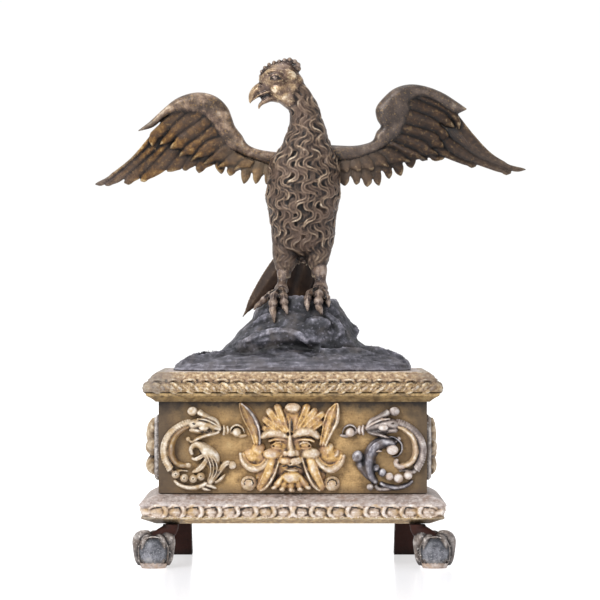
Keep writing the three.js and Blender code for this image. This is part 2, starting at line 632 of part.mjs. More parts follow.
function clawFoot() {
  const { middleX, middleY } = FOOT;
  const gripped = new THREE.SphereGeometry(BALL_RADIUS, 8, 5).translate(middleX, middleY, BALL_RADIUS - 1);
  const pad = new THREE.CylinderGeometry(FOOT.sole + 3, FOOT.sole, 7, 8).rotateX(Math.PI / 2)
    .translate(middleX, middleY, 3.5);
  const claws = FOOT.clawAngles.map((degrees) => {
    const angle = THREE.MathUtils.degToRad(degrees);
    const at = (reach, z, radius) => [middleX + reach * Math.cos(angle), middleY + reach * Math.sin(angle), z,
      radius];
    return limb([at(6, 42, 8), at(21, 40, 10), at(26, 26, 8), at(20, 8, 6)], 5, 2);
  });
  const neck = limb([[middleX + 2, middleY, 36, 14], [middleX + 14, middleY + 2, 47, 12],
    [middleX + 24, middleY + 6, 55, 12], [middleX + 25, middleY + 8, 70, 12]], 6, 2);
  return joined([gripped, pad, ...claws, neck]).intersect(solidOf(
    block([middleX - 60, middleX + 60], [middleY - 60, middleY + 60], [FLOOR, BASE_BOTTOM - GAP]),
  ));
}

const REAR_FOOT = { inner: 156.5, splay: 2, outer: 195, front: 87, back: 130 };

function rearFoot(side) {
  const { inner, splay, outer, front, back } = REAR_FOOT;
  const ring = (z, near) => [
    vec(side * near, front, z), vec(side * outer, front, z), vec(side * outer, back, z), vec(side * near, back, z)];
  return loft([ring(FLOOR, inner - splay), ring(BASE_BOTTOM - GAP, inner)]);
}

// Finishes
const FINISHES = {
  gilt: { color: 0x8a6238, roughness: 0.5, metalness: 0.55 },
  wing: { color: 0x6f4a2c, roughness: 0.55, metalness: 0.45 },
  darkWood: { color: 0x35241d, roughness: 0.6, metalness: 0 },
  paintedRock: { color: 0x46464c, roughness: 0.7, metalness: 0.05 },
  wornGilt: { color: 0xb08b56, roughness: 0.55, metalness: 0.35 },
  wornGesso: { color: 0xa59b94, roughness: 0.75, metalness: 0.05 },
  ochreBoard: { color: 0x7b5f3a, roughness: 0.65, metalness: 0.1 },
  silvered: { color: 0x7d7a7e, roughness: 0.5, metalness: 0.4 },
};

const statue = new THREE.Group();
statue.position.set(-ROW_ORIGIN_X, -ROW_ORIGIN_Y, 0);

function place(name, shape, finish) {
  const geometry = shape instanceof THREE.BufferGeometry ? shape : geometryOf(outerSkin(shape));
  const mesh = new THREE.Mesh(geometry, new THREE.MeshStandardMaterial(FINISHES[finish]));
  mesh.name = name;
  statue.add(mesh);
}

place('eagle_body', eagleSolid(), 'gilt');
place('wing_left', wingSolid(WINGS.left), 'wing');
place('wing_right', wingSolid(WINGS.right), 'wing');
place('tail', tailSolid(), 'darkWood');
place('rock', rockGeometry(0), 'paintedRock');
place('top_board', topBoard(), 'wornGilt');
Object.keys(SIDES).forEach((side) => {
  place(`cavetto_${side}`, moulding(side, () => COVE_PROFILE, 1, [3, 251]), 'wornGilt');
  place(`base_${side}`, baseMember(side), 'wornGesso');
});
const inner = CASE_HALF_WIDTH - CASE_BOARD;
place('base_back', block([-inner + GAP, inner - GAP], [CASE_HALF_DEPTH - BASE_MEMBER_DEPTH, CASE_HALF_DEPTH],
  [BASE_BOTTOM, BASE_TOP]), 'darkWood');
const caseHeight = [BASE_TOP + GAP, CORNICE_BOTTOM - GAP];
const boardFace = CASE_HALF_DEPTH - CASE_BOARD;
place('case_front', block([-CASE_HALF_WIDTH, CASE_HALF_WIDTH], [-CASE_HALF_DEPTH, -boardFace], caseHeight),
  'ochreBoard');
place('case_back', block([-CASE_HALF_WIDTH, CASE_HALF_WIDTH], [boardFace, CASE_HALF_DEPTH], caseHeight),
  'darkWood');
[[-1, 'left'], [1, 'right']].forEach(([side, name]) => {
  const xs = [side * inner, side * CASE_HALF_WIDTH].sort((a, b) => a - b);
  place(`case_${name}`, block(xs, [-boardFace + GAP, boardFace - GAP], caseHeight), 'ochreBoard');
  place(`plaque_${name}`, plaque(side, PLAQUE_RISE[name]), 'wornGilt');
  place(`rear_foot_${name}`, rearFoot(side), 'darkWood');
});
place('mask', leafMask(), 'wornGilt');
const scroll = geometryOf(outerSkin(dolphinScroll()));
place('scroll_left', scroll, 'wornGesso');
place('scroll_right', mirrored(scroll, ORNAMENT_CENTRE), 'silvered');
const foot = geometryOf(outerSkin(clawFoot()));
place('claw_foot_left', foot, 'silvered');
place('claw_foot_right', mirrored(foot, FOOT.pairMiddle), 'silvered');

const group = new THREE.Group();
group.add(statue);

export default group;
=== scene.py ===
"""The carved eagle on its rock and giltwood plinth: locks, feathers, ornament and worn finishes.

Everything is carved in millimetres measured from the middle of the plinth, front towards -Y, and each finished
mesh is then set into the row frame in metres.
"""
import sys
import logging
import math
import random
from collections.abc import Callable, Sequence
from dataclasses import dataclass, field
from enum import Enum
from functools import lru_cache

import bmesh
import bpy
import numpy as np
from mathutils import Matrix, Vector
from mathutils.bvhtree import BVHTree
from mathutils.interpolate import poly_3d_calc
from mathutils.noise import noise


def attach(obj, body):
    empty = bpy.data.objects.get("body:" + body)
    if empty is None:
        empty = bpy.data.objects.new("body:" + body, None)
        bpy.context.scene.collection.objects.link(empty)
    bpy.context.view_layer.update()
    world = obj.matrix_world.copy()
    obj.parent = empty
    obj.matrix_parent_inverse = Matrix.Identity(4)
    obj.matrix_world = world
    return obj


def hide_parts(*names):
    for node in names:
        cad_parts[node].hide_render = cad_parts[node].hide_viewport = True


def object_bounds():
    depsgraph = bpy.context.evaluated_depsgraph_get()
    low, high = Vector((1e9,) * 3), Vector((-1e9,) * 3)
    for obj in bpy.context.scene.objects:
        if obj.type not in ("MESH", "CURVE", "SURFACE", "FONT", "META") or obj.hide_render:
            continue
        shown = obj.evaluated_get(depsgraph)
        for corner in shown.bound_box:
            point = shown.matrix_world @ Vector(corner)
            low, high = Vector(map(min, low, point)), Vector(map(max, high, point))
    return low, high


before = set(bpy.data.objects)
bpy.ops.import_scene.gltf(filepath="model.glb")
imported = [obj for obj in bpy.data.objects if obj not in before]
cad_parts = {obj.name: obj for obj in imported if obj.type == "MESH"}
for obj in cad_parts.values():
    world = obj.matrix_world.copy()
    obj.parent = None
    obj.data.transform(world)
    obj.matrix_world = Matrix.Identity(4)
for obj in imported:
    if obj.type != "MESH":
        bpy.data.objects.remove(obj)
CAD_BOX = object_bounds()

log = logging.getLogger("eagle")

# Middle of the plinth in the row frame, and one millimetre in metres
PLINTH_IN_ROW = Vector((-26.5, 21.5, 0.0))
METRE = 0.001
TAU = 2 * math.pi
FRONT = Vector((0.0, -1.0, 0.0))
# Share of a strand by which its direction is felt, and share of a swelling on a knuckle
FEELER, KNUCKLE = 0.02, 0.16
# How far one round of smoothing moves a point towards its neighbours when relief is measured
RELAX = 0.6

Line = Callable[[float], Vector]
Size = Callable[[float], float]
Points = Sequence[Sequence[float]]


# ---- Measures along a carved strand


class Curve:
    """A smooth line through points."""

    def __init__(self, points: Points) -> None:
        """Keeps the points.

        Args:
            points: at least two points, in millimetres.
        """
        self.points = [Vector(point) for point in points]
        self.shares = np.linspace(0, 1, 25)
        spots = [self(share) for share in self.shares]
        self.lengths = np.concatenate([[0.0], np.cumsum([(b - a).length for a, b in zip(spots, spots[1:])])])

    def __call__(self, share: float) -> Vector:
        """Finds a point on the line.

        Args:
            share: 0 at the start and 1 at the end.

        Returns:
            The point in millimetres.
        """
        last = len(self.points) - 2
        place = float(min(max(share, 0.0), 1.0)) * (last + 1)
        index = min(int(place), last)
        t = place - index
        start, end = self.points[index], self.points[index + 1]
        before = self.points[index - 1] if index > 0 else 2 * start - end
        after = self.points[index + 2] if index < last else 2 * end - start
        leave, arrive = (end - before) / 2, (after - start) / 2
        bend = 3 * (end - start) - 2 * leave - arrive
        twist = 2 * (start - end) + leave + arrive
        return start + t * (leave + t * (bend + t * twist))

    def even(self, share: float) -> Vector:
        """Finds a point by its share of the length."""
        return self(float(np.interp(share * self.lengths[-1], self.lengths, self.shares)))


def swell(start: float, middle: float, end: float) -> Size:
    """Gives a size that runs from start through middle, half way along, to end."""
    bend = 2 * middle - (start + end) / 2
    return lambda t: start * (1 - t) ** 2 + 2 * bend * t * (1 - t) + end * t * t


def lobed(size: Size, count: float, depth: float) -> Size:
    """Scallops a size into count lobes, depth being the share that is cut away between two."""
    return lambda t: size(t) * (1 - depth + depth * abs(math.sin(math.pi * count * t)))


def ease(low: float, high: float, value: float) -> float:
    """Eases from 0 at low to 1 at high."""
    t = min(max((value - low) / (high - low), 0.0), 1.0)
    return t * t * (3 - 2 * t)


def hump(offset: float, spread: float) -> float:
    """Gives a bell that is 1 at no offset."""
    return math.exp(-((offset / spread) ** 2))


class Section(Enum):
    """The cross-section of a carved strand."""

    ROUND = "round limb"
    MOUND = "half round on its ground"
    LOCK = "lock with two ridges"
    LEAF = "leaf with a sunk vein and raised edges"
    RIDGE = "roof shaped"

    def outline(self, angle: float) -> tuple[float, float]:
        """Finds a point of the section.

        Args:
            angle: angle round the section; the top half stands off the ground.

        Returns:
            The share across and the share up.
        """
        across, up = math.cos(angle), math.sin(angle)
        if self is Section.ROUND:
            return across, up
        if up < 0:
            return across, 0.35 * up
        if self is Section.LOCK:
            return across, up**0.7 * (0.83 - 0.17 * math.cos(TAU * across))
        if self is Section.LEAF:
            return across, up**0.6 * (0.75 + 0.25 * abs(across) - 0.3 * hump(across, 0.18))
        if self is Section.RIDGE:
            return across, 1 - abs(across)
        return across, up


# ---- Closed shells and the carving that joins them


@dataclass(frozen=True)
class Bar:
    """A straight closed bar, the blank of every strand."""

    stations: tuple[int, ...]
    angles: tuple[float, ...]
    faces: tuple[tuple[int, ...], ...]


@lru_cache(maxsize=None)
def blank(sides: int, steps: int) -> Bar:
    """Makes the blank of a strand.

    Args:
        sides: number of edges round it.
        steps: number of divisions along it.

    Returns:
        The blank.
    """
    shell = bmesh.new()
    bmesh.ops.create_cone(shell, cap_ends=True, segments=sides, radius1=1, radius2=1, depth=2)
    upright = [edge for edge in shell.edges if abs(edge.verts[0].co.z - edge.verts[1].co.z) > 1]
    if steps > 1:
        bmesh.ops.subdivide_edges(shell, edges=upright, cuts=steps - 1)
    shell.verts.index_update()
    made = Bar(
        tuple(round((vert.co.z + 1) / 2 * steps) for vert in shell.verts),
        tuple(math.atan2(vert.co.y, vert.co.x) for vert in shell.verts),
        tuple(tuple(vert.index for vert in face.verts) for face in shell.faces),
    )
    shell.free()
    return made


@dataclass
class Shells:
    """Closed shells that overlap, with what each point knows of its strand.

    A piece carved from them also has voxel, the size of its finest detail in millimetres, and budget, its most
    triangles.
    """

    points: list[Vector] = field(init=False, default_factory=list)
    faces: list[tuple[int, ...]] = field(init=False, default_factory=list)
    across: list[float] = field(init=False, default_factory=list)
    along: list[float] = field(init=False, default_factory=list)
    finish: list[int] = field(init=False, default_factory=list)

    def add(self, points: list[Vector], faces: Sequence[Sequence[int]], across: list[float], along: list[float],
            finish: int) -> None:
        """Adds one closed shell.

        Args:
            points: its points in millimetres.
            faces: its faces.
            across: place across the strand for each point, -1 to 1.
            along: distance along the strand for each point.
            finish: index of the finish of its faces.
        """
        base = len(self.points)
        self.points.extend(points)
        self.faces.extend(tuple(base + corner for corner in face) for face in faces)
        self.across.extend(across)
        self.along.extend(along)
        self.finish.extend([finish] * len(faces))

    def wrap(self, place: Callable[[float, float], Vector], sides: int, steps: int, finish: int,
             length: float = 100.0) -> None:
        """Bends a blank into any closed form.

        Args:
            place: gives a point from the share along and the angle round.
            sides: edges round.
            steps: divisions along.
            finish: index of the finish.
            length: length along, for patterns.
        """
        bar = blank(sides, steps)
        points = [place(station / steps, angle) for station, angle in zip(bar.stations, bar.angles)]
        across = [math.cos(angle) for angle in bar.angles]
        along = [length * station / steps for station in bar.stations]
        self.add(points, bar.faces, across, along, finish)

    def sweep(self, line: Line, width: Size, rise: Size, section: Section = Section.MOUND, steps: int = 10,
              sides: int = 12, outward: Vector | Line = FRONT, finish: int = 0) -> None:
        """Carves a strand along a line.

        Args:
            line: the middle of its ground.
            width: half width along it.
            rise: height off the ground along it.
            section: its cross-section.
            steps: divisions along.
            sides: edges round.
            outward: direction away from the ground.
            finish: index of the finish.
        """
        bar = blank(sides, steps)
        outline = {angle: section.outline(angle) for angle in set(bar.angles)}
        rings = []
        length = 0.0
        for step in range(steps + 1):
            share = step / steps
            centre = line(share)
            ahead = line(min(share + FEELER, 1.0)) - line(max(share - FEELER, 0.0))
            out = outward(share) if callable(outward) else outward
            side = ahead.cross(out).normalized()
            if section is Section.ROUND:
                out = side.cross(ahead).normalized()
            if rings:
                length += (centre - rings[-1][0]).length
            rings.append((centre, side * width(share), out * rise(share), length))
        points, across, along = [], [], []
        for station, angle in zip(bar.stations, bar.angles):
            centre, side, out, distance = rings[station]
            sideways, up = outline[angle]
            points.append(centre + side * sideways + out * up)
            across.append(sideways)
            along.append(distance)
        self.add(points, bar.faces, across, along, finish)

    def limb(self, stations: Points, sides: int = 12, steps: int = 12, flatten: float = 1.0,
             knuckles: float = 0.0, finish: int = 0) -> None:
        """Carves a round limb.

        Args:
            stations: x, y, z and radius at each station.
            sides: edges round.
            steps: divisions along.
            flatten: thickness compared with width.
            knuckles: number of swellings along it.
            finish: index of the finish.
        """
        radii = Curve([(station[3], 0, 0) for station in stations])
        bump = lambda t: 1 + (KNUCKLE * math.sin(TAU * knuckles * t) if knuckles else 0)
        line = Curve([station[:3] for station in stations])
        ahead = line(1) - line(0)
        outward = Vector((1, 0, 0)) if abs(ahead.y) > 0.8 * ahead.length else FRONT
        self.sweep(line, lambda t: radii(t).x * bump(t), lambda t: flatten * radii(t).x * bump(t), Section.ROUND,
                   steps, sides, outward, finish)

    def ball(self, centre: Sequence[float], radius: float, squash: Sequence[float], finish: int,
             detail: int = 10) -> None:
        """Adds a ball or an egg.

        Args:
            centre: its middle.
            radius: its radius.
            squash: scale along each axis.
            finish: index of the finish.
            detail: rings of faces.
        """
        shell = bmesh.new()
        bmesh.ops.create_uvsphere(shell, u_segments=2 * detail, v_segments=detail, radius=radius)
        bmesh.ops.scale(shell, vec=Vector(squash), verts=shell.verts)
        bmesh.ops.translate(shell, vec=Vector(centre), verts=shell.verts)
        self.take(shell, finish)

    def box(self, low: Sequence[float], high: Sequence[float], finish: int) -> None:
        """Adds a rectangular block.

        Args:
            low: lowest corner.
            high: highest corner.
            finish: index of the finish.
        """
        low, high = Vector(low), Vector(high)
        shell = bmesh.new()
        bmesh.ops.create_cube(shell, size=1)
        bmesh.ops.scale(shell, vec=high - low, verts=shell.verts)
        bmesh.ops.translate(shell, vec=(high + low) / 2, verts=shell.verts)
        self.take(shell, finish)

    def take(self, shell: bmesh.types.BMesh, finish: int) -> None:
        """Adds a bmesh as a shell and frees it."""
        shell.verts.index_update()
        points = [vert.co.copy() for vert in shell.verts]
        faces = [tuple(vert.index for vert in face.verts) for face in shell.faces]
        self.add(points, faces, [0.0] * len(points), [0.0] * len(points), finish)
        shell.free()

    def mirror(self, middle: float) -> None:
        """Puts the shells on the other side of a plane across X."""
        self.points = [Vector((2 * middle - point.x, point.y, point.z)) for point in self.points]
        self.faces = [face[::-1] for face in self.faces]

    def mesh(self, name: str) -> bpy.types.Mesh:
        """Makes a mesh of the loose shells."""
        made = bpy.data.meshes.new(name)
        made.from_pydata([tuple(point) for point in self.points], [], self.faces)
        made.polygons.foreach_set("material_index", self.finish)
        return made

    def carve(self, name: str, finishes: Sequence["Worn"], reach: int, soften: int = 1,
              touch: Callable[[Vector, Vector], float] | None = None) -> bpy.types.Object:
        """Joins the shells into one carved piece in the row frame.

        Args:
            name: name of the piece.
            finishes: its finishes.
            reach: how far the relief looks, in rounds.
            soften: rounds of smoothing, as a coat of gesso gives.
            touch: gives an extra height in millimetres for a point and its normal.

        Returns:
            The piece.
        """
        mesh = remeshed(self.mesh(name), self.voxel, self.budget)
        mesh.name = name
        work = bmesh.new()
        work.from_mesh(mesh)
        for _ in range(soften):
            bmesh.ops.smooth_vert(
                work, verts=work.verts, factor=0.5, use_axis_x=True, use_axis_y=True, use_axis_z=True)
        if touch:
            work.normal_update()
            moves = [(vert, vert.normal * touch(vert.co, vert.normal)) for vert in work.verts]
            for vert, move in moves:
                vert.co += move
        work.to_mesh(mesh)
        work.free()
        read = BVHTree.FromPolygons([tuple(point) for point in self.points], self.faces)
        count = len(mesh.vertices)
        across, along, finish = np.zeros(count), np.zeros(count), np.zeros(count, dtype=np.int32)
        for vert in mesh.vertices:
            spot, _, face, _ = read.find_nearest(vert.co)
            corners = self.faces[face]
            weights = poly_3d_calc([self.points[corner] for corner in corners], spot)
            across[vert.index] = sum(w * self.across[c] for w, c in zip(weights, corners))
            along[vert.index] = sum(w * self.along[c] for w, c in zip(weights, corners))
            finish[vert.index] = self.finish[face]
        for title, values in (("relief", relief_of(mesh, reach)), ("across", across), ("along", along)):
            layer = mesh.attributes.new(title, "FLOAT", "POINT")
            layer.data.foreach_set("value", values.astype(np.float32))
        firsts = np.empty(len(mesh.polygons), dtype=np.int32)
        mesh.polygons.foreach_get("loop_start", firsts)
        corners = np.empty(len(mesh.loops), dtype=np.int32)
        mesh.loops.foreach_get("vertex_index", corners)
        mesh.materials.clear()
        for finish_of in finishes:
            mesh.materials.append(coat(finish_of))
        mesh.polygons.foreach_set("material_index", finish[corners[firsts]])
        return settle(name, mesh)


def relief_of(mesh: bpy.types.Mesh, reach: int) -> np.ndarray:
    """Measures how far each point stands out from its smoothed surroundings.

    Args:
        mesh: the mesh, in millimetres.
        reach: rounds of smoothing; more rounds look further.

    Returns:
        -1 in a deep hollow to 1 on a crest, for each vertex.
    """
    count = len(mesh.vertices)
    points = np.empty(count * 3)
    mesh.vertices.foreach_get("co", points)
    points = points.reshape(-1, 3)
    normals = np.empty(count * 3)
    mesh.vertices.foreach_get("normal", normals)
    edges = np.empty(len(mesh.edges) * 2, dtype=np.int64)
    mesh.edges.foreach_get("vertices", edges)
    ends = np.concatenate([edges[0::2], edges[1::2]])
    others = np.concatenate([edges[1::2], edges[0::2]])
    valence = np.maximum(np.bincount(ends, minlength=count), 1)[:, None]
    soft = points.copy()
    for _ in range(reach):
        sums = [np.bincount(ends, weights=soft[others, axis], minlength=count) for axis in range(3)]
        soft = (1 - RELAX) * soft + RELAX * np.stack(sums, axis=1) / valence
    height = ((points - soft) * normals.reshape(-1, 3)).sum(axis=1)
    spread = np.percentile(np.abs(height), 90) + 1e-6
    return np.clip(height / spread, -1, 1)


def placed(name: str, data: bpy.types.ID) -> bpy.types.Object:
    """Makes an object of some data and links it to the scene."""
    made = bpy.data.objects.new(name, data)
    bpy.context.scene.collection.objects.link(made)
    return made


def evaluated(thing: bpy.types.Object) -> bpy.types.Mesh:
    """Makes a mesh of an object with its modifiers applied."""
    graph = bpy.context.evaluated_depsgraph_get()
    return bpy.data.meshes.new_from_object(thing.evaluated_get(graph), depsgraph=graph)


def remeshed(mesh: bpy.types.Mesh, voxel: float, budget: int) -> bpy.types.Mesh:
    """Joins overlapping shells into one skin.

    Args:
        mesh: the loose shells.
        voxel: size of the finest detail, in millimetres.
        budget: most triangles.

    Returns:
        The joined mesh.
    """
    thing = placed("carving", mesh)
    joining = thing.modifiers.new("join", "REMESH")
    joining.mode = "VOXEL"
    joining.voxel_size = voxel
    made = evaluated(thing)
    triangles = sum(len(face.vertices) - 2 for face in made.polygons)
    if triangles > budget:
        thing.modifiers.clear()
        thing.data = made
        thinning = thing.modifiers.new("thin", "DECIMATE")
        thinning.ratio = budget / triangles
        thinner = evaluated(thing)
        bpy.data.objects.remove(thing)
        bpy.data.meshes.remove(made)
        return thinner
    bpy.data.objects.remove(thing)
    return made


def settle(name: str, mesh: bpy.types.Mesh) -> bpy.types.Object:
    """Sets a finished mesh into the row frame.

    Args:
        name: name of the piece.
        mesh: its mesh, in millimetres from the middle of the plinth.

    Returns:
        The piece.
    """
    mesh.transform(Matrix.Scale(METRE, 4) @ Matrix.Translation(PLINTH_IN_ROW))
    low, high = CAD_BOX
    for vert in mesh.vertices:
        vert.co = [min(max(at, least), most) for at, least, most in zip(vert.co, low, high)]
    mesh.shade_smooth()
    return placed(name, mesh)


def install(piece: bpy.types.Object, slot: str, *nodes: str) -> None:
    """Lets a piece stand for its solids and reports it.

    Args:
        piece: the piece.
        slot: the record's finish; not used.
        nodes: the solids that it replaces.
    """
    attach(piece, "root")
    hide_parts(*nodes)
    triangles = sum(len(face.vertices) - 2 for face in piece.data.polygons)
    log.info("%s: %d triangles", piece.name, triangles)


# ---- Finishes


def linear(code: str) -> tuple[float, float, float, float]:
    """Turns an sRGB hex colour, six digits after #, to linear with full alpha."""
    shares = [int(code[place : place + 2], 16) / 255 for place in (1, 3, 5)]
    return (*(c / 12.92 if c <= 0.04045 else ((c + 0.055) / 1.055) ** 2.4 for c in shares), 1.0)


def add_node(material: bpy.types.Material | bpy.types.World, kind: str, sockets: dict | None = None,
             ramp: Sequence[tuple[float, str]] = (), **settings: object) -> bpy.types.Node:
    """Adds one node with its settings and links.

    Args:
        material: what the node belongs to.
        kind: type of the node.
        sockets: a value or an output for each named or numbered input.
        ramp: place and hex colour of each stop of a colour ramp.
        settings: properties of the node.

    Returns:
        The node.
    """
    tree = material.node_tree
    node = tree.nodes.new(kind)
    for title, value in settings.items():
        setattr(node, title, value)
    for title, value in (sockets or {}).items():
        if isinstance(value, bpy.types.NodeSocket):
            tree.links.new(value, node.inputs[title])
        else:
            node.inputs[title].default_value = value
    if ramp:
        stops = node.color_ramp.elements
        while len(stops) < len(ramp):
            stops.new(1.0)
        for stop, (place, code) in zip(stops, ramp):
            stop.position = place
            stop.color = linear(code)
    return node


class Grain(Enum):
    """The fine pattern of a surface."""

    NONE = "smooth"
    BARBS = "barbs cut aslant from the shaft of a feather"
    HAIR = "fine lines along a lock"
    BRUSH = "brushed lengthwise"


# What sets a tone: relief and ambient occlusion, weighed round a middle, and how far the occlusion is measured, in
# metres. Both put painted shade into hollows and round applied parts, besides the real grime there, and relief puts a
# painted highlight on crests, besides real wear
RELIEF_WEIGHT, OCCLUSION_SHADE_WEIGHT, KEY_MIDDLE, KEY_SHIFT = 0.46, 0.62, 0.53, 0.69
OCCLUSION_SHADE_POWER, OCCLUSION_SHADE_REACH = 1.6, 0.014
# How much the lines of the grain change the tone
LINE_WEIGHT = 0.035
# Sizes of the fine unevenness and of the tooth of the surface, in millimetres
FINE_SIZE, TOOTH_SIZE = 2.6, 0.9
# How far the noise swings round a half, and softness and strength of patches and of flecks
NOISE_SPREAD = 0.17
PATCH_EDGE, FLECK_EDGE = (0.09, 0.7), (0.06, 0.6)


@dataclass(frozen=True)
class StainAndShade:
    """A change of tone across a piece: some are real tints, some painted shade, some painted light.

    It grows from start to end, in millimetres of the row frame measured along its direction.
    """

    direction: tuple[float, float, float]
    start: float
    end: float
    colour: str
    strength: float = 0.7


@dataclass(frozen=True)
class Spots:
    """Another colour in spots of a size in millimetres over a share of the surface."""

    colour: str
    size: float
    share: float


@dataclass(frozen=True)
class Worn:
    """A coat on carved wood, from the grime in its hollows to what is rubbed bare on its crests, with painted shade in
    its hollows and round other parts and a painted highlight on its crests.

    tones are the stops from hollow to crest, patch is a second colour in soft patches and fleck small chips. mottle
    is the strength and the size of the unevenness, contrast how much darker hollows are than crests. Sizes are in
    millimetres.
    """

    name: str
    tones: tuple[tuple[float, str], ...]
    patch: Spots | None = None
    fleck: Spots | None = None
    stains_and_shades: tuple[StainAndShade, ...] = ()
    mottle: tuple[float, float] = (0.35, 14.0)
    contrast: float = 1.0
    metallic: float = 0.0
    roughness: float = 0.5
    specular: float = 0.5
    grain: Grain = Grain.NONE
    grain_size: float = 2.0
    bump: float = 0.25

    def material(self) -> bpy.types.Material:
        """Builds the material.

        Returns:
            The material.
        """
        made = bpy.data.materials.new(self.name)
        made.use_nodes = True
        made.node_tree.nodes.clear()
        add = lambda kind, sockets=None, ramp=(), **settings: add_node(made, kind, sockets, ramp, **settings)
        place = add("ShaderNodeTexCoord").outputs["Object"]
        noise_of = lambda size, detail=4.0: add(
            "ShaderNodeTexNoise", {"Vector": place, "Scale": 1000 / size, "Detail": detail}).outputs["Fac"]
        maths = lambda operation, *values: add(
            "ShaderNodeMath", dict(enumerate(values)), operation=operation).outputs[0]
        blend = lambda share, under, code: add(
            "ShaderNodeMix", {"Factor": share, 6: under, 7: linear(code)}, data_type="RGBA").outputs[2]
        relief = add("ShaderNodeAttribute", attribute_name="relief").outputs["Fac"]
        # Ambient occlusion paints shade into hollows and onto the board round applied ornament
        occlusion_shade = add("ShaderNodeAmbientOcclusion", {"Distance": OCCLUSION_SHADE_REACH}, samples=5).outputs["AO"]
        mottle, mottle_size = self.mottle
        broad, fine = noise_of(mottle_size), noise_of(FINE_SIZE)
        # Relief and occlusion set the tone: real grime and wear, together with painted shade in hollows and a painted
        # highlight on crests
        key = maths("MULTIPLY_ADD", relief, RELIEF_WEIGHT * self.contrast, KEY_MIDDLE - KEY_SHIFT * self.contrast)
        key = maths("MULTIPLY_ADD", maths("POWER", occlusion_shade, OCCLUSION_SHADE_POWER), OCCLUSION_SHADE_WEIGHT * self.contrast, key)
        key = maths("ADD", key, maths("MULTIPLY_ADD", broad, 2 * mottle, -mottle))
        key = maths("ADD", key, maths("MULTIPLY_ADD", fine, 0.8 * mottle, -0.4 * mottle))
        lines = self.lines(maths, add, place)
        if lines is not None:
            key = maths("MULTIPLY_ADD", lines, LINE_WEIGHT, key)
        colour = add("ShaderNodeValToRGB", {"Fac": key}, self.tones).outputs["Color"]
        for spots, soft, strength in ((self.patch, *PATCH_EDGE), (self.fleck, *FLECK_EDGE)):
            if spots:
                level = 0.5 + NOISE_SPREAD * (1 - 2 * spots.share)
                value = maths("MULTIPLY_ADD", relief, 0.05, noise_of(spots.size, 6.0))
                mask = add("ShaderNodeMapRange", {"Value": value, "From Min": level - soft, "From Max": level + soft,
                                                  "To Max": strength})
                colour = blend(mask.outputs[0], colour, spots.colour)
        # Tone changes along a direction: some real tints, some painted shade, some painted light
        for stain_and_shade in self.stains_and_shades:
            way = add("ShaderNodeVectorMath", {0: place, 1: stain_and_shade.direction}, operation="DOT_PRODUCT").outputs["Value"]
            ragged = maths("ADD", way, maths("MULTIPLY_ADD", broad, 0.04, -0.02))
            mask = add("ShaderNodeMapRange", {"Value": ragged, "From Min": stain_and_shade.start * METRE,
                                              "From Max": stain_and_shade.end * METRE, "To Max": stain_and_shade.strength})
            colour = blend(mask.outputs[0], colour, stain_and_shade.colour)
        rough = add("ShaderNodeMapRange", {"Value": fine, "From Min": 0.3, "From Max": 0.7,
                                           "To Min": self.roughness - 0.1, "To Max": self.roughness + 0.14})
        height = maths("MULTIPLY_ADD", fine, 0.6, maths("MULTIPLY", noise_of(TOOTH_SIZE, 2.0), 0.3))
        if lines is not None:
            height = maths("MULTIPLY_ADD", lines, 0.3, height)
        bump = add("ShaderNodeBump", {"Height": height, "Strength": 1.0, "Distance": self.bump * METRE})
        shader = add("ShaderNodeBsdfPrincipled", {
            "Base Color": colour, "Metallic": self.metallic, "Roughness": rough.outputs[0],
            "Specular IOR Level": self.specular,
            "Normal": bump.outputs["Normal"]})
        add("ShaderNodeOutputMaterial", {"Surface": shader.outputs[0]})
        return made

    def lines(self, maths: Callable, add: Callable, place: bpy.types.NodeSocket) -> bpy.types.NodeSocket | None:
        """Adds the fine lines of the grain.

        Args:
            maths: adds a Math node.
            add: adds any node.
            place: object coordinates.

        Returns:
            A wave from -1 to 1, or None on a smooth surface.
        """
        if self.grain is Grain.NONE:
            return None
        if self.grain is Grain.BRUSH:
            stretched = add("ShaderNodeMapping", {"Vector": place, "Scale": (0.05, 1.0, 1.0)}).outputs[0]
            streaks = add("ShaderNodeTexNoise", {"Vector": stretched, "Scale": 1000 / self.grain_size, "Detail": 3.0})
            return maths("MULTIPLY_ADD", streaks.outputs["Fac"], 4.0, -2.0)
        across = add("ShaderNodeAttribute", attribute_name="across").outputs["Fac"]
        if self.grain is Grain.HAIR:
            return maths("COSINE", maths("MULTIPLY", across, 3 * TAU))
        along = add("ShaderNodeAttribute", attribute_name="along").outputs["Fac"]
        slant = maths("MULTIPLY_ADD", maths("ABSOLUTE", across), -9.0, along)
        return maths("SINE", maths("MULTIPLY", slant, TAU / self.grain_size))


LEFTWARDS, RIGHTWARDS, UPWARDS, DOWNWARDS = (-1, 0, 0), (1, 0, 0), (0, 0, 1), (0, 0, -1)

# Water gilding toned brown over bole: crests catch pale gold light, the cuts between the locks stay nearly black
LOCK_GILDING = Worn(
    "toned gilding on locks",
    ((0, "#0c0806"), (0.2, "#1f1612"), (0.42, "#3f3128"), (0.62, "#6b5747"), (0.82, "#aa9278"), (1, "#efe0c6")),
    patch=Spots("#6a5548", 30, 0.3), metallic=0.25, roughness=0.44, grain=Grain.HAIR, bump=0.3, mottle=(0.22, 14),
    contrast=1.12, stains_and_shades=(StainAndShade(DOWNWARDS, -520, -440, "#3d3029", 0.4),))
# Burnished gilding on the smooth head, rubbed to a warm yellow
FACE_GILDING = Worn(
    "burnished gilding on head",
    ((0, "#170f0d"), (0.25, "#392a22"), (0.48, "#5f4a3b"), (0.68, "#836a52"), (0.86, "#b39672"), (1, "#f1dfc2")),
    patch=Spots("#7b665c", 18, 0.35), fleck=Spots("#e0c99f", 3, 0.07), metallic=0.35, roughness=0.3, mottle=(0.5, 11),
    bump=0.25, contrast=0.75)
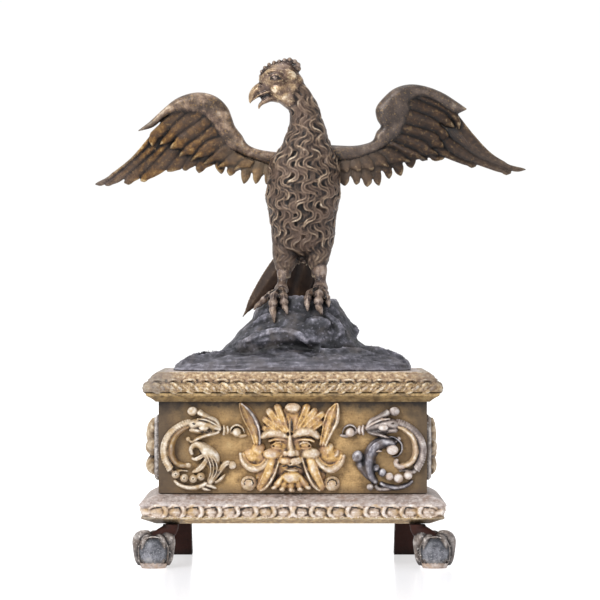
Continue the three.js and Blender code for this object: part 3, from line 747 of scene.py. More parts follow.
# The same gilding worn to pinkish grey bole on legs and toes
LEG_BOLE = Worn(
    "worn bole on legs", ((0, "#110c0b"), (0.3, "#2a211f"), (0.55, "#514440"), (0.8, "#7a6960"), (1, "#a8978b")),
    patch=Spots("#6a523d", 12, 0.25), fleck=Spots("#b9a48c", 3, 0.1), metallic=0.2, roughness=0.42, mottle=(0.5, 8),
    bump=0.35)
# Painted shade: near black and slightly glossy, laid in eye sockets, mouths, nostrils, slits, cracks and drilled holes
# where shadow falls
PAINTED_SHADE = Worn(
    "painted shade in slits and holes", ((0, "#0c0807"), (0.6, "#1c1311"), (1, "#4a382c")),
    roughness=0.3, bump=0.05)
# Oil gilding on the left wing: warm gold in the middle of each feather, dark size showing through, grey tips; its
# tones also stay lighter than the right wing's as painted light from the left
WING_WARM = Worn(
    "warm oil gilding on feathers in painted light",
    ((0, "#0f0a07"), (0.22, "#2c1f15"), (0.45, "#4c351d"), (0.66, "#734f26"), (0.86, "#9c763d"), (1, "#cfb283")),
    patch=Spots("#4c3d33", 32, 0.35), fleck=Spots("#94744a", 5, 0.03), metallic=0.25, roughness=0.42,
    grain=Grain.BARBS, grain_size=2.2, bump=0.6, mottle=(0.55, 7),
    stains_and_shades=(StainAndShade(LEFTWARDS, 255, 318, "#6f635e", 0.75), StainAndShade(RIGHTWARDS, -140, -70, "#98836a", 0.5)), contrast=1.12)
# Gilding rubbed nearly white on the thick rim of the left wing, brown in its cuts; lighter than the right rim also as
# painted light
RIM_WARM = Worn(
    "rubbed gilding on wing rim in painted light",
    ((0, "#0e0907"), (0.25, "#3a2c24"), (0.5, "#6c5749"), (0.75, "#a08872"), (1, "#dccbb4")),
    patch=Spots("#2f2620", 26, 0.36), fleck=Spots("#a8854f", 2.8, 0.1), metallic=0.25, roughness=0.4, mottle=(0.6, 9),
    bump=0.5)
# The right wing is greyer, its gilding nearly gone over a brown ground, and its tones are darker than the left wing's
# also as painted shade on the side away from the light
WING_GREY = Worn(
    "faded gilding on feathers in painted shade",
    ((0, "#0c0807"), (0.22, "#1f150f"), (0.45, "#2a1c12"), (0.66, "#3c2817"), (0.86, "#584027"), (1, "#ab9573")),
    patch=Spots("#38291f", 34, 0.3), fleck=Spots("#7d6341", 5, 0.05), metallic=0.22, roughness=0.44, grain=Grain.BARBS,
    grain_size=2.2, bump=0.6, mottle=(0.5, 7),
    stains_and_shades=(StainAndShade(RIGHTWARDS, 215, 320, "#736459", 0.55), StainAndShade(LEFTWARDS, -130, -60, "#84705f", 0.5)), contrast=1.12)
# The right rim is duller: faded gold on a grey brown ground, darker than the left rim also as painted shade
RIM_GREY = Worn(
    "faded gilding on wing rim in painted shade",
    ((0, "#0f0b09"), (0.25, "#2b221d"), (0.5, "#4d4038"), (0.75, "#6b5c52"), (1, "#b5a590")),
    patch=Spots("#332b27", 30, 0.3), fleck=Spots("#967a52", 2.8, 0.07), metallic=0.22, roughness=0.42,
    mottle=(0.45, 12), bump=0.35)
# Stained and waxed wood: nearly black brown, a low sheen
DARK_WOOD = Worn(
    "dark waxed wood", ((0, "#100805"), (0.5, "#321913"), (0.8, "#3c2018"), (1, "#4d3226")),
    roughness=0.6, specular=0.2, grain=Grain.BRUSH, grain_size=1.5, bump=0.15, mottle=(0.3, 14))
# The same waxed wood cut into feathers, with a lighter brown edge where hands have rubbed it
TAIL_WOOD = Worn(
    "dark waxed tail feathers", ((0, "#0f0a08"), (0.4, "#2b1f19"), (0.7, "#4b392c"), (1, "#8d765f")),
    roughness=0.38, specular=0.4, grain=Grain.BARBS, grain_size=1.6, bump=0.08, mottle=(0.3, 14))
# Distemper on the rock: charcoal with blue-grey and lavender strokes on what stands out
ROCK_PAINT = Worn(
    "blue-grey paint on rock",
    ((0, "#0c0c0f"), (0.25, "#202025"), (0.5, "#3a3a40"), (0.7, "#5a5961"), (0.88, "#85838d"), (1, "#b9b6bf")),
    patch=Spots("#5c5552", 26, 0.2), fleck=Spots("#8a8691", 5, 0.07), roughness=0.6, bump=0.5, mottle=(0.5, 12),
    stains_and_shades=(StainAndShade(DOWNWARDS, -318, -288, "#7e7a83", 0.4),))
# Gilding that has gone in specks down to ochre and pink ground, greyer towards the left end and darker towards the
# right end
SPECKLED_GILDING = Worn(
    "speckled gilding on cornice",
    ((0, "#1a120c"), (0.22, "#5f482f"), (0.48, "#a5855a"), (0.72, "#c9aa79"), (1, "#f5e8cf")),
    patch=Spots("#80653f", 9, 0.38), fleck=Spots("#e3d4b4", 2, 0.2), metallic=0.1, roughness=0.5, mottle=(0.6, 6),
    bump=0.5, stains_and_shades=(StainAndShade(LEFTWARDS, 190, 228, "#80756d", 0.66), StainAndShade(RIGHTWARDS, 150, 186, "#64554a", 0.55)),
    contrast=0.95)
# The raised ribs of the cornice: pale worn gold, brown between them, greyer towards the left end and darker towards
# the right end
CORNICE_RIDGE = Worn(
    "rubbed ridges on cornice",
    ((0, "#32251a"), (0.22, "#80644a"), (0.48, "#bd9f78"), (0.72, "#dcc6a3"), (1, "#f7edd9")),
    patch=Spots("#94765b", 7, 0.4), fleck=Spots("#5c4632", 2.6, 0.16), metallic=0.1, roughness=0.5, mottle=(0.85, 5),
    bump=0.7, stains_and_shades=(StainAndShade(LEFTWARDS, 182, 222, "#82786f", 0.78), StainAndShade(RIGHTWARDS, 138, 172, "#6f6156", 0.68)),
    contrast=0.95)
# Flat yellow gold in the cove, with painted shade in dark brown along its foot, where the hollow of the cove lies in
# shadow
COVE_GILDING = Worn(
    "plain gilding in cove", ((0, "#36281b"), (0.3, "#806842"), (0.55, "#bb9c6a"), (0.8, "#d4b984"), (1, "#ead8ac")),
    patch=Spots("#574530", 15, 0.3), metallic=0.1, roughness=0.5, mottle=(0.7, 6), bump=0.45, contrast=0.4,
    stains_and_shades=(StainAndShade(DOWNWARDS, -249, -243, "#4a3926", 0.5),))
# Bare gesso, greyed by handling, with gold left low down
BARE_GESSO = Worn(
    "worn gesso on base leaves",
    ((0, "#30251d"), (0.2, "#8f7762"), (0.45, "#cfbaa7"), (0.7, "#ebdfd3"), (1, "#fefaf5")),
    patch=Spots("#bf9a60", 15, 0.25), fleck=Spots("#a38a76", 3, 0.12), roughness=0.6, mottle=(0.5, 8), bump=0.4,
    contrast=0.72)
# Bare gesso worn smooth and grey on the slope of the base and the top of the plinth
SMOOTH_GESSO = Worn(
    "smooth greyed gesso", ((0, "#5f5149"), (0.3, "#998a82"), (0.6, "#bfb2ab"), (1, "#e6ddd7")),
    patch=Spots("#9c8476", 12, 0.35), fleck=Spots("#dcd2cd", 4, 0.2), roughness=0.55, mottle=(0.75, 9),
    grain=Grain.BRUSH, grain_size=2.0, bump=0.35, contrast=0.6)
# Ochre bole with thin gold left on the case, with a painted shadow under the cornice, and darker towards both ends and
# along its foot
OCHRE_BOLE = Worn(
    "ochre bole on case", ((0, "#3a2a1a"), (0.3, "#7a5e37"), (0.55, "#c19d68"), (0.8, "#dabd88"), (1, "#e4cda2")),
    patch=Spots("#96794f", 30, 0.35), fleck=Spots("#573f28", 2, 0.04), metallic=0.08, roughness=0.52,
    grain=Grain.BRUSH, grain_size=1.8, bump=0.22, mottle=(0.4, 14),
    stains_and_shades=(StainAndShade(RIGHTWARDS, 60, 150, "#786248", 0.36), StainAndShade(LEFTWARDS, 164, 208, "#473a2f", 0.85),
            StainAndShade(RIGHTWARDS, 128, 162, "#40352b", 0.75), StainAndShade(DOWNWARDS, -120, -106, "#5c4936", 0.6),
            StainAndShade(UPWARDS, 216, 240, "#231a13", 0.95)), contrast=0.4)
# Old matt gold on the mask, whitish where it stands out
MASK_GOLD = Worn(
    "rubbed gold on mask",
    ((0, "#2a1b10"), (0.2, "#7c5a35"), (0.45, "#c79c59"), (0.66, "#e2bf84"), (0.86, "#f4e4ca"), (1, "#fdf8ef")),
    patch=Spots("#a98468", 13, 0.34), fleck=Spots("#ecdcc0", 2.4, 0.05),
    stains_and_shades=(StainAndShade((-1, 0, 1), 262, 322, "#6d543a", 0.6),), metallic=0.1, roughness=0.5, mottle=(0.55, 9), bump=0.35,
    contrast=0.74)
# Creamy gesso where the gold has gone from the high parts of the mask
MASK_CREAM = Worn(
    "rubbed cream on mask",
    ((0, "#2f2117"), (0.2, "#7f6446"), (0.45, "#bb9f77"), (0.66, "#d6bf9c"), (0.86, "#ecdfca"), (1, "#fcf7ee")),
    patch=Spots("#bfa083", 9, 0.35), fleck=Spots("#f2e8da", 4, 0.07), metallic=0.08, roughness=0.5, mottle=(0.5, 8),
    bump=0.35, contrast=0.74)
# Pinkish grey ground of the right beast's mane and the left ear, dark in the cuts from dirt and painted shade
PINK_GESSO = Worn(
    "pinkish grey gesso on mane",
    ((0, "#1e1716"), (0.25, "#5c4e49"), (0.5, "#978880"), (0.75, "#c4b6ad"), (1, "#f5efe9")),
    patch=Spots("#6b625f", 12, 0.35), roughness=0.5, mottle=(0.45, 8), contrast=0.95)
# Nearly white gesso of beads and tips, with a pink shade in the hollows
PALE_GESSO = Worn(
    "pinkish white gesso", ((0, "#4a3a32"), (0.3, "#978479"), (0.6, "#d0c3ba"), (1, "#fbf6f1")),
    patch=Spots("#b89c84", 9, 0.3), roughness=0.55, mottle=(0.4, 6), contrast=0.82)
# Cream ground with thin gold left in patches on the left beast
CREAM_GOLD = Worn(
    "cream gesso with gold", ((0, "#2b2018"), (0.22, "#7b6650"), (0.46, "#b9a48a"), (0.7, "#dccdb5"), (1, "#fdf8ef")),
    patch=Spots("#b08f5e", 10, 0.33), metallic=0.06, roughness=0.52, mottle=(0.5, 7), bump=0.35, contrast=0.95)
# Brownish gilding on the plaques, paler on their leaves
PLAQUE_GOLD = Worn(
    "browned gilding on plaque",
    ((0, "#2a1f17"), (0.22, "#6f5a44"), (0.46, "#a0896c"), (0.7, "#c6b193"), (1, "#efe2cb")),
    patch=Spots("#8d7048", 10, 0.3), metallic=0.06, roughness=0.52, mottle=(0.45, 7), bump=0.3, contrast=0.75)
# Tarnished silver leaf: dark grey with a cold light on its edges
TARNISHED = Worn(
    "tarnished silver leaf", ((0, "#0f0e10"), (0.25, "#28262a"), (0.5, "#403d41"), (0.75, "#77737a"), (1, "#dcd8da")),
    patch=Spots("#5f5148", 12, 0.25), metallic=0.25, roughness=0.4, mottle=(0.35, 8), bump=0.3)
# Silver leaf browned by varnish on the claws, bright on the knuckles
TOE_SILVER = Worn(
    "browned silver leaf on claws",
    ((0, "#141110"), (0.25, "#2b2726"), (0.5, "#554e4b"), (0.75, "#8c847f"), (1, "#e0d8d1")),
    patch=Spots("#6f5f53", 12, 0.25), fleck=Spots("#efe8df", 3, 0.03), metallic=0.2, roughness=0.42, mottle=(0.4, 8),
    bump=0.4)
# Grey silver leaf with pale pits on the balls, with painted shade over the upper part and painted light from the floor
# on the underside
BALL_SILVER = Worn(
    "pitted silver leaf on ball", ((0, "#1b1c1f"), (0.3, "#35363a"), (0.6, "#5d5e64"), (1, "#b4b4bb")),
    fleck=Spots("#cfcdd0", 1.8, 0.06), metallic=0.25, roughness=0.4, mottle=(0.5, 9), bump=0.6,
    stains_and_shades=(StainAndShade(UPWARDS, 18, 46, "#3c3d42", 0.7), StainAndShade(DOWNWARDS, -16, -4, "#a9a5a2", 0.6)))


@lru_cache(maxsize=None)
def coat(finish: Worn) -> bpy.types.Material:
    """Gives the material of a finish, made when it is first used."""
    return finish.material()


# ---- The eagle


# Outline of the trunk from the crown of the head to the fork of the legs: z, left, right, front, back
TRUNK = ((751, -22, -6, -5, 5), (744, -39, 3, -15, 15), (733, -47, 9, -19, 19), (718, -51, 17, -20, 20),
         (703, -44, 26, -20, 21), (692, -33, 33, -21, 22), (680, -15, 38, -22, 23), (664, -6, 43, -24, 25),
         (645, -9, 50, -30, 29), (622, -17, 57, -40, 34), (597, -35, 68, -50, 40), (570, -39, 71, -55, 43),
         (542, -42, 72, -55, 44), (512, -36, 65, -50, 43), (482, -33, 63, -43, 40), (464, -26, 56, -33, 34),
         (454, -2, 34, -15, 20))

# Where the smooth face ends and the locks begin, from the throat to the nape
HAIRLINE_X = (-20, -13.5, -6, 4, 13, 25)
HAIRLINE_Z = (668, 679, 697, 710, 718, 722)
THROAT, NAPE = 664, 722

# Stations of the two legs: x, y, z and radius
LEGS = (
    {"thigh": ((-6, -2, 500, 24), (-11, -8, 462, 19), (-12, -12, 440, 14), (-13, -14, 430, 9)),
     "shank": ((-13, -14, 442, 9), (-16, -20, 416, 8.5), (-18, -27, 400, 10)),
     "toes": (((-20, -28, 402, 7), (-36, -34, 394, 6), (-50, -36, 382, 5), (-58, -38, 374, 1.5)),
              ((-20, -32, 402, 7), (-28, -52, 392, 7), (-30, -63, 374, 6.5), (-27, -66, 355, 2)),
              ((-16, -32, 402, 7), (-14, -54, 391, 7), (-12, -62, 378, 5.5), (-8, -64, 367, 2)),
              ((-18, -22, 402, 6), (-15, 0, 394, 5.5), (-13, 12, 388, 2)))},
    {"thigh": ((35, -2, 500, 25), (36, -8, 462, 20), (37, -12, 442, 13), (38, -14, 432, 9)),
     "shank": ((39, -14, 444, 10), (41, -20, 418, 10), (41, -27, 401, 10)),
     "toes": (((36, -32, 403, 6.5), (24, -50, 396, 6.5), (21, -60, 384, 5.5), (22, -63, 372, 2)),
              ((40, -32, 403, 7), (38, -54, 394, 7.5), (38, -64, 378, 6.5), (43, -66, 366, 2)),
              ((43, -28, 403, 6.5), (48, -42, 396, 6.5), (52, -50, 386, 5), (53, -54, 378, 2)),
              ((40, -22, 403, 6), (41, 0, 395, 5.5), (42, 12, 389, 2)))},
)


@dataclass
class EagleBody(Shells):
    """Head, neck, trunk and legs, carved as one."""

    lock_pitch: float = 11.8
    lock_length: float = 46.0
    lock_rise: float = 7.6
    swing: float = 6.8
    wavelength: float = 30.0
    roundness: float = 1.3
    row_gap: float = 20.0
    sink: float = 6.0
    last_row: float = 470.0
    lowest_tip: float = 446.0
    skull_drop: float = 5.0
    skull: tuple[float, float] = (712.0, 751.0)
    voxel: float = 1.2
    budget: int = 170_000

    def __post_init__(self) -> None:
        """Samples the outline of the trunk against height."""
        shares = np.linspace(0, 1, 400)
        height = Curve([(row[0], 0, 0) for row in TRUNK])
        self.heights = np.array([height(share).x for share in shares])[::-1]
        self.edges = []
        for column in range(1, 5):
            edge = Curve([(row[column], 0, 0) for row in TRUNK])
            self.edges.append(np.array([edge(share).x for share in shares])[::-1])
        self.chance = random.Random(11)

    def size_at(self, z: float) -> tuple[float, float, float, float]:
        """Finds the middle of the trunk and its reach sideways and in depth at a height."""
        left, right, front, back = (float(np.interp(z, self.heights, edge)) for edge in self.edges)
        return (left + right) / 2, (front + back) / 2, (right - left) / 2, (back - front) / 2

    def skin(self, angle: float, z: float, out: float) -> Vector:
        """Finds a point on the trunk.

        Args:
            angle: angle round it, 0 towards the nape.
            z: height.
            out: distance out from the skin.

        Returns:
            The point.
        """
        x, y, reach_x, reach_y = self.size_at(z)
        return Vector((x + (reach_x + out) * math.cos(angle), y + (reach_y + out) * math.sin(angle), z))

    def outward(self, angle: float, z: float) -> Vector:
        """Finds the direction away from the trunk."""
        _, _, reach_x, reach_y = self.size_at(z)
        return Vector((math.cos(angle) / max(reach_x, 1), math.sin(angle) / max(reach_y, 1), 0)).normalized()

    def lock_top(self, angle: float) -> float:
        """Finds where the locks begin below the smooth face: high on the nape, low on the throat."""
        for z in range(NAPE, THROAT, -2):
            if z <= np.interp(self.skin(angle, z, 0).x, HAIRLINE_X, HAIRLINE_Z):
                return z
        return THROAT

    def trunk(self) -> None:
        """Carves the core under the locks and the smooth skull."""
        top, bottom = TRUNK[0][0], TRUNK[-1][0]
        tops = [self.lock_top(TAU * side / 64) for side in range(64)]

        def place(share: float, angle: float) -> Vector:
            """Finds a point of the core, sunk where locks will cover it."""
            z = top + (bottom - top) * share
            start = tops[round(angle / TAU * 64) % 64]
            under = 1 - ease(start - 12, start + 4, z)
            point = self.skin(angle, z, -self.sink * under - 1.5 * ease(NAPE, 744, z))
            point.z -= self.skull_drop * ease(*self.skull, z)
            return point

        self.wrap(place, 64, 110, 1)

    def strand(self, line: Line, away: Line, half_width: float, rise: float, steps: int) -> None:
        """Carves one lock, its root tucked in and its tip lifted over what lies below.

        Args:
            line: the middle of its ground.
            away: direction off the ground along it.
            half_width: half of its width.
            rise: its height.
            steps: divisions along it.
        """
        self.sweep(line, lambda t: half_width * min(1.0, 0.6 + 1.5 * t) * (1 - ease(0.7, 1.03, t)) + 0.5,
                   lambda t: rise * (0.45 + 0.65 * t**0.8) * (1 - 0.5 * t**7), Section.LOCK, steps, 22, away, 0)

    def lock(self, angle: float, top: float, length: float, half_width: float) -> None:
        """Carves one wavy lock on the trunk.

        Args:
            angle: angle round the trunk.
            top: height of its root.
            length: its length.
            half_width: half of its width.
        """
        phase = 0.9 * math.sin(3 * angle) + self.chance.uniform(-0.8, 0.8)
        swing = self.swing * self.chance.uniform(0.75, 1.2)
        curl = self.chance.choice((-1, 1)) * self.chance.uniform(2, 8)

        def turned(share: float) -> tuple[float, float]:
            """Finds the angle and the height of the waving middle."""
            z = top - length * share
            turn = TAU * z / self.wavelength + phase
            z -= self.roundness * math.sin(2 * turn)
            _, _, reach_x, reach_y = self.size_at(z)
            wave = swing * (0.7 + 0.5 * share) * math.sin(turn)
            sideways = wave + curl * ease(0.65, 1.0, share) ** 2
            return angle + sideways / max((reach_x + reach_y) / 2, 18), z

        def line(share: float) -> Vector:
            """Finds its ground, sunk into the trunk."""
            around, z = turned(share)
            return self.skin(around, z, -self.sink)

        self.strand(line, lambda t: self.outward(*turned(t)), half_width,
                    self.lock_rise * self.chance.uniform(0.8, 1.15), 26)

    def coat_of_locks(self) -> None:
        """Carves the rows of locks down the neck and the trunk."""
        top, row = NAPE, 0
        while top > self.last_row:
            neck = ease(640, 690, top)
            length = self.lock_length + 18 * neck
            pitch = self.lock_pitch - 2.2 * neck
            _, _, reach_x, reach_y = self.size_at(min(top - length / 2, 700))
            columns = max(8, round(math.pi * (reach_x + reach_y) / pitch))
            for column in range(columns):
                angle = TAU * (column + 0.5 * (row % 2) + self.chance.uniform(-0.14, 0.14)) / columns
                start = self.lock_top(angle)
                if top > start + 9:
                    continue
                self.lock(angle, min(top + self.chance.uniform(-5, 5), start + 3),
                          min(length, top - self.lowest_tip), pitch * 0.39)
            top -= self.row_gap
            row += 1

    def thigh(self, stations: Points) -> None:
        """Carves a feathered thigh with a ragged hem.

        Args:
            stations: x, y, z and radius down the thigh.
        """
        self.limb([(x, y, z, radius - 3) for x, y, z, radius in stations], 20, 20, finish=0)
        x, y, z, radius = stations[-1]
        longer = (*stations, (x - 0.5, y - 3, z - 12, radius))
        middle = Curve([station[:3] for station in longer])
        radii = Curve([(station[3], 0, 0) for station in longer])
        for row in range(6):
            start = 0.02 + 0.13 * row
            columns = 11 if row < 4 else 8
            for column in range(columns):
                angle = TAU * (column + 0.5 * (row % 2) + self.chance.uniform(-0.15, 0.15)) / columns
                phase = self.chance.uniform(-0.6, 0.6)
                reach = min(0.4, 1.0 - start) * self.chance.uniform(0.7, 1.0)

                def turned(share: float) -> tuple[float, float]:
                    """Finds the angle and the share down the thigh."""
                    down = start + reach * share
                    wave = 5.5 * math.sin(TAU * middle(down).z / self.wavelength + phase)
                    return angle + wave / 17, down

                def away(share: float) -> Vector:
                    """Finds the direction off the thigh."""
                    around, _ = turned(share)
                    return Vector((math.cos(around), math.sin(around), 0))

                def line(share: float) -> Vector:
                    """Finds its ground, sunk into the thigh."""
                    _, down = turned(share)
                    return middle(down) + away(share) * (radii(down).x - 3)

                self.strand(line, away, 5.4, 5.6, 12)

    def leg(self, leg: dict) -> None:
        """Carves a thigh, shank and toes with their claws."""
        self.thigh(leg["thigh"])
        self.limb(leg["shank"], 16, 16, knuckles=1.5, finish=2)
        for toe in leg["toes"]:
            self.limb([(x, y, z + 0.5, radius * 0.92) for x, y, z, radius in toe[:-1]], 14, 24, knuckles=3, finish=2)
            self.sweep(Curve([(x, y - 1, z + 1) for x, y, z, _ in toe[:-1]]), swell(2, 2.4, 2), swell(8.5, 8.3, 7.5),
                       Section.RIDGE, 16, 8, Vector((0, -0.5, 0.85)), 2)
            last, tip = Vector(toe[-2][:3]), Vector(toe[-1][:3])
            middle = last.lerp(tip, 0.5) + Vector((0, -2.5, 2.5))
            self.limb([(*last, toe[-2][3] * 0.85), (*middle, toe[-2][3] * 0.66), (*tip, 1.3)], 12, 8, finish=2)

    def face(self, x: float, z: float, side: int, out: float = 0.0) -> Vector:
        """Finds a point on the smooth head.

        Args:
            x: place along the head.
            z: height.
            side: -1 for the near side, 1 for the far side.
            out: distance out from the skin.

        Returns:
            The point.
        """
        middle_x, middle_y, reach_x, reach_y = self.size_at(z + self.skull_drop * ease(*self.skull, z + 3))
        share = min(max((x - middle_x) / reach_x, -0.96), 0.96)
        return Vector((x, middle_y + side * (reach_y * math.sqrt(1 - share * share) + out), z))

    def eye(self, side: int) -> None:
        """Carves a dark almond with its ball between thin lids, and the brow and cheek round it."""
        on_face = lambda out, *points: Curve([self.face(x, z, side, out) for x, z in points])
        outward = Vector((-0.2, side, 0)).normalized()
        # The dark almond round the eyeball is painted shade
        self.sweep(on_face(-1.5, (-35, 720), (-30.5, 720.8), (-24, 721), (-16, 719.6)), swell(0.6, 5.4, 0.5),
                   swell(2.2, 2.4, 2.2), steps=14, outward=outward, finish=3)
        self.ball(self.face(-26.2, 720.6, side, -1.8), 4.5, (1.1, 0.9, 0.85), 2, 12)
        self.sweep(on_face(-0.8, (-36, 719), (-32, 723.8), (-26, 726), (-20, 724.2), (-14, 718.8)),
                   swell(0.8, 1.3, 0.8), swell(1.2, 2.8, 1.2), steps=16, outward=outward, finish=1)
        self.sweep(on_face(-0.8, (-36, 719), (-30, 716), (-23, 715.8), (-14, 718.8)), swell(0.7, 1.0, 0.7),
                   swell(1.0, 1.9, 1.0), steps=14, outward=outward, finish=1)
        self.sweep(on_face(-5, (-46, 722), (-37, 729.5), (-27, 732), (-15, 730), (-4, 722)), swell(3, 5, 3),
                   swell(4.6, 6.4, 4.6), steps=16, outward=outward, finish=1)
        for x, z, radius, squash in ((-9, 722, 13, (1.1, 0.5, 1.0)), (-17, 705, 12, (1.4, 0.5, 0.8))):
            self.ball(self.face(x, z, side, -radius * squash[1] + 1.2), radius, squash, 1, 16)

    def head(self) -> None:
        """Carves the beak, the eyes and the beaded crest."""
        self.limb([(-26, 0, 709, 14), (-42, 0, 706.5, 11.4), (-50, 0, 704, 10.3), (-56.5, 0, 699.5, 8.6),
                   (-61, 0, 694, 6.4), (-63.5, 0, 688.5, 3.4), (-64.6, 0, 683.6, 0.8)], 22, 26, 0.85, finish=1)
        self.limb([(-20, 0, 694, 10), (-33, 0, 692, 6.0), (-42, 0, 687.2, 3.9), (-47.5, 0, 683.8, 3.1),
                   (-50.5, 0, 679.5, 2.2), (-51.4, 0, 675, 0.7)], 18, 18, 1.5, finish=1)
        # A dark strand along the gape is painted shade of the mouth line
        self.limb([(-28, 0, 700.5, 3.5), (-38, 0, 696.5, 3.6), (-48, 0, 690.5, 2.4)], 12, 8, 1.8, finish=3)
        for side in (-1, 1):
            self.eye(side)
            # The nostril is a small dark ball of painted shade
            self.ball((-49.5, side * 9.4, 708.5), 1.5, (1.6, 0.8, 0.7), 3, 6)
            lip = Curve([(x, side * y, z) for x, y, z in ((-27, 14.6, 702.5), (-34, 12.6, 701.5), (-44, 9.8, 698.5),
                                                          (-53, 7.6, 694.5), (-60, 4.5, 688))])
            self.sweep(
                lip, swell(1.2, 1.6, 0.8), swell(1.6, 1.6, 1.0), steps=12, outward=Vector((0, side, 0)), finish=1)
        crest = ((-49, 724.5, 2.8), (-46.8, 731.2, 3.2), (-42.3, 737, 3.3), (-35.8, 741.8, 3.4), (-28.4, 744.6, 3.5),
                 (-20.6, 746.4, 3.5), (-12.8, 748, 3.7), (-5, 748.6, 4.2), (2.6, 746, 4.2), (7.6, 741, 4.4))
        for x, z, radius in crest:
            for side in (-1, 1):
                self.ball((x, side * 3.6, z), radius, (0.92, 1, 1), 2, 8)
            self.ball((0.9 * x - 1, 0, z - 5), 5.5, (1.2, 1, 1), 1, 8)
        self.ball((3, 0, 737), 7.5, (1, 1, 1), 2, 8)

    def build(self) -> None:
        """Builds the whole bird without its wings and tail."""
        self.trunk()
        self.coat_of_locks()
        for leg in LEGS:
            self.leg(leg)
        self.head()
        piece = self.carve("gilded_eagle", (LOCK_GILDING, FACE_GILDING, LEG_BOLE, PAINTED_SHADE), 26)
        install(piece, "eagle_gilt", "eagle_body")


@dataclass
class Wing(Shells):
    """A carved wing: a rounded arm with a thumb feather, long feathers and a layer of coverts.

    A feather is a line of X and Z along its outer edge that ends in the notch before it and then its own tip. The
    last line of a layer only closes it.
    """

    name: str
    shoulder: float
    coat: Worn
    rim_coat: Worn
    arm: tuple[tuple[float, float, float, float], ...]
    feathers: tuple[tuple[tuple[float, float], ...], ...]
    coverts: tuple[tuple[tuple[float, float], ...], ...]
    sweep_back: float = 22.0
    bluntness: float = 0.3
    gap: float = 0.22
    notch_depth: float = 9.0
    voxel: float = 1.15
    budget: int = 72_000

    def depth(self, x: float, base: float) -> float:
        """Finds how far back the wing lies at a place along the span."""
        return base + self.sweep_back * ((x - self.shoulder) / 300) ** 2

    def layer(self, feathers: tuple, base: float, rise: float, thickness: float) -> None:
        """Carves a layer of feathers, each with its outer edge over its neighbour.

        Args:
            feathers: their lines.
            base: depth of their ground.
            rise: how far they stand out.
            thickness: thickness behind the ground.
        """
        flat = lambda points: Curve([(x, 0, z) for x, z in points])
        for own, following in zip(feathers, feathers[1:]):
            near, far = flat(own), flat((*following[:-1], own[-1]))
            length = near.lengths[-1]
            notch = 1 - math.dist(own[-2], own[-1]) / length

            def place(t: float, angle: float) -> Vector:
                """Finds a point of the feather between its two edges."""
                across = math.cos(angle)
                past = min(max((t - notch) / (1 - notch), 0.0), 0.99)
                widened = across * ((1 + past) / (1 - past)) ** self.bluntness
                widened *= 1 - self.gap * ease(notch - self.notch_depth / length, notch, t)
                point = near.even(t).lerp(far.even(t), 0.5 + 0.5 * widened)
                crown = 1 - 0.72 * abs(across) ** 2.4 - 0.3 * across + 0.08 * hump(across, 0.1)
                lift = rise * crown * (0.4 + 0.6 * ease(0, 0.5, t)) * (1 - 0.4 * ease(0.8, 1, t))
                out = lift if math.sin(angle) >= 0 else -thickness * (1 - 0.5 * t)
                return Vector((point.x, self.depth(point.x, base) - out, point.z))

            self.wrap(place, 28, max(26, round(length / 2.4)), 0, length)

    def arm_of(self) -> None:
        """Carves the thick arm and its thumb feather."""
        upper = Curve([(x, 0, z) for x, z, _, _ in self.arm])
        lower = Curve([(x, 0, z) for _, _, x, z in self.arm])

        def place(t: float, angle: float) -> Vector:
            """Finds a point of the arm between its two edges."""
            high, low = upper(t), lower(t)
            point = high.lerp(low, 0.5 - 0.5 * math.cos(angle))
            rise = min(12.0, 0.5 * (low - high).length)
            out = rise * math.sin(angle) * (1 + 0.3 * math.cos(angle) if math.sin(angle) > 0 else 0.8)
            return Vector((point.x, self.depth(point.x, 4 - out), point.z))

        self.wrap(place, 32, 6 * len(self.arm), 1, 300)

    def build(self) -> None:
        """Builds the wing."""
        self.arm_of()
        self.layer(self.feathers, 6, 3.8, 5)
        self.layer(self.coverts, 1.5, 4.2, 6.5)
        piece = self.carve(f"gilded_{self.name}", (self.coat, self.rim_coat), 22)
        install(piece, "wing_gilt", self.name)


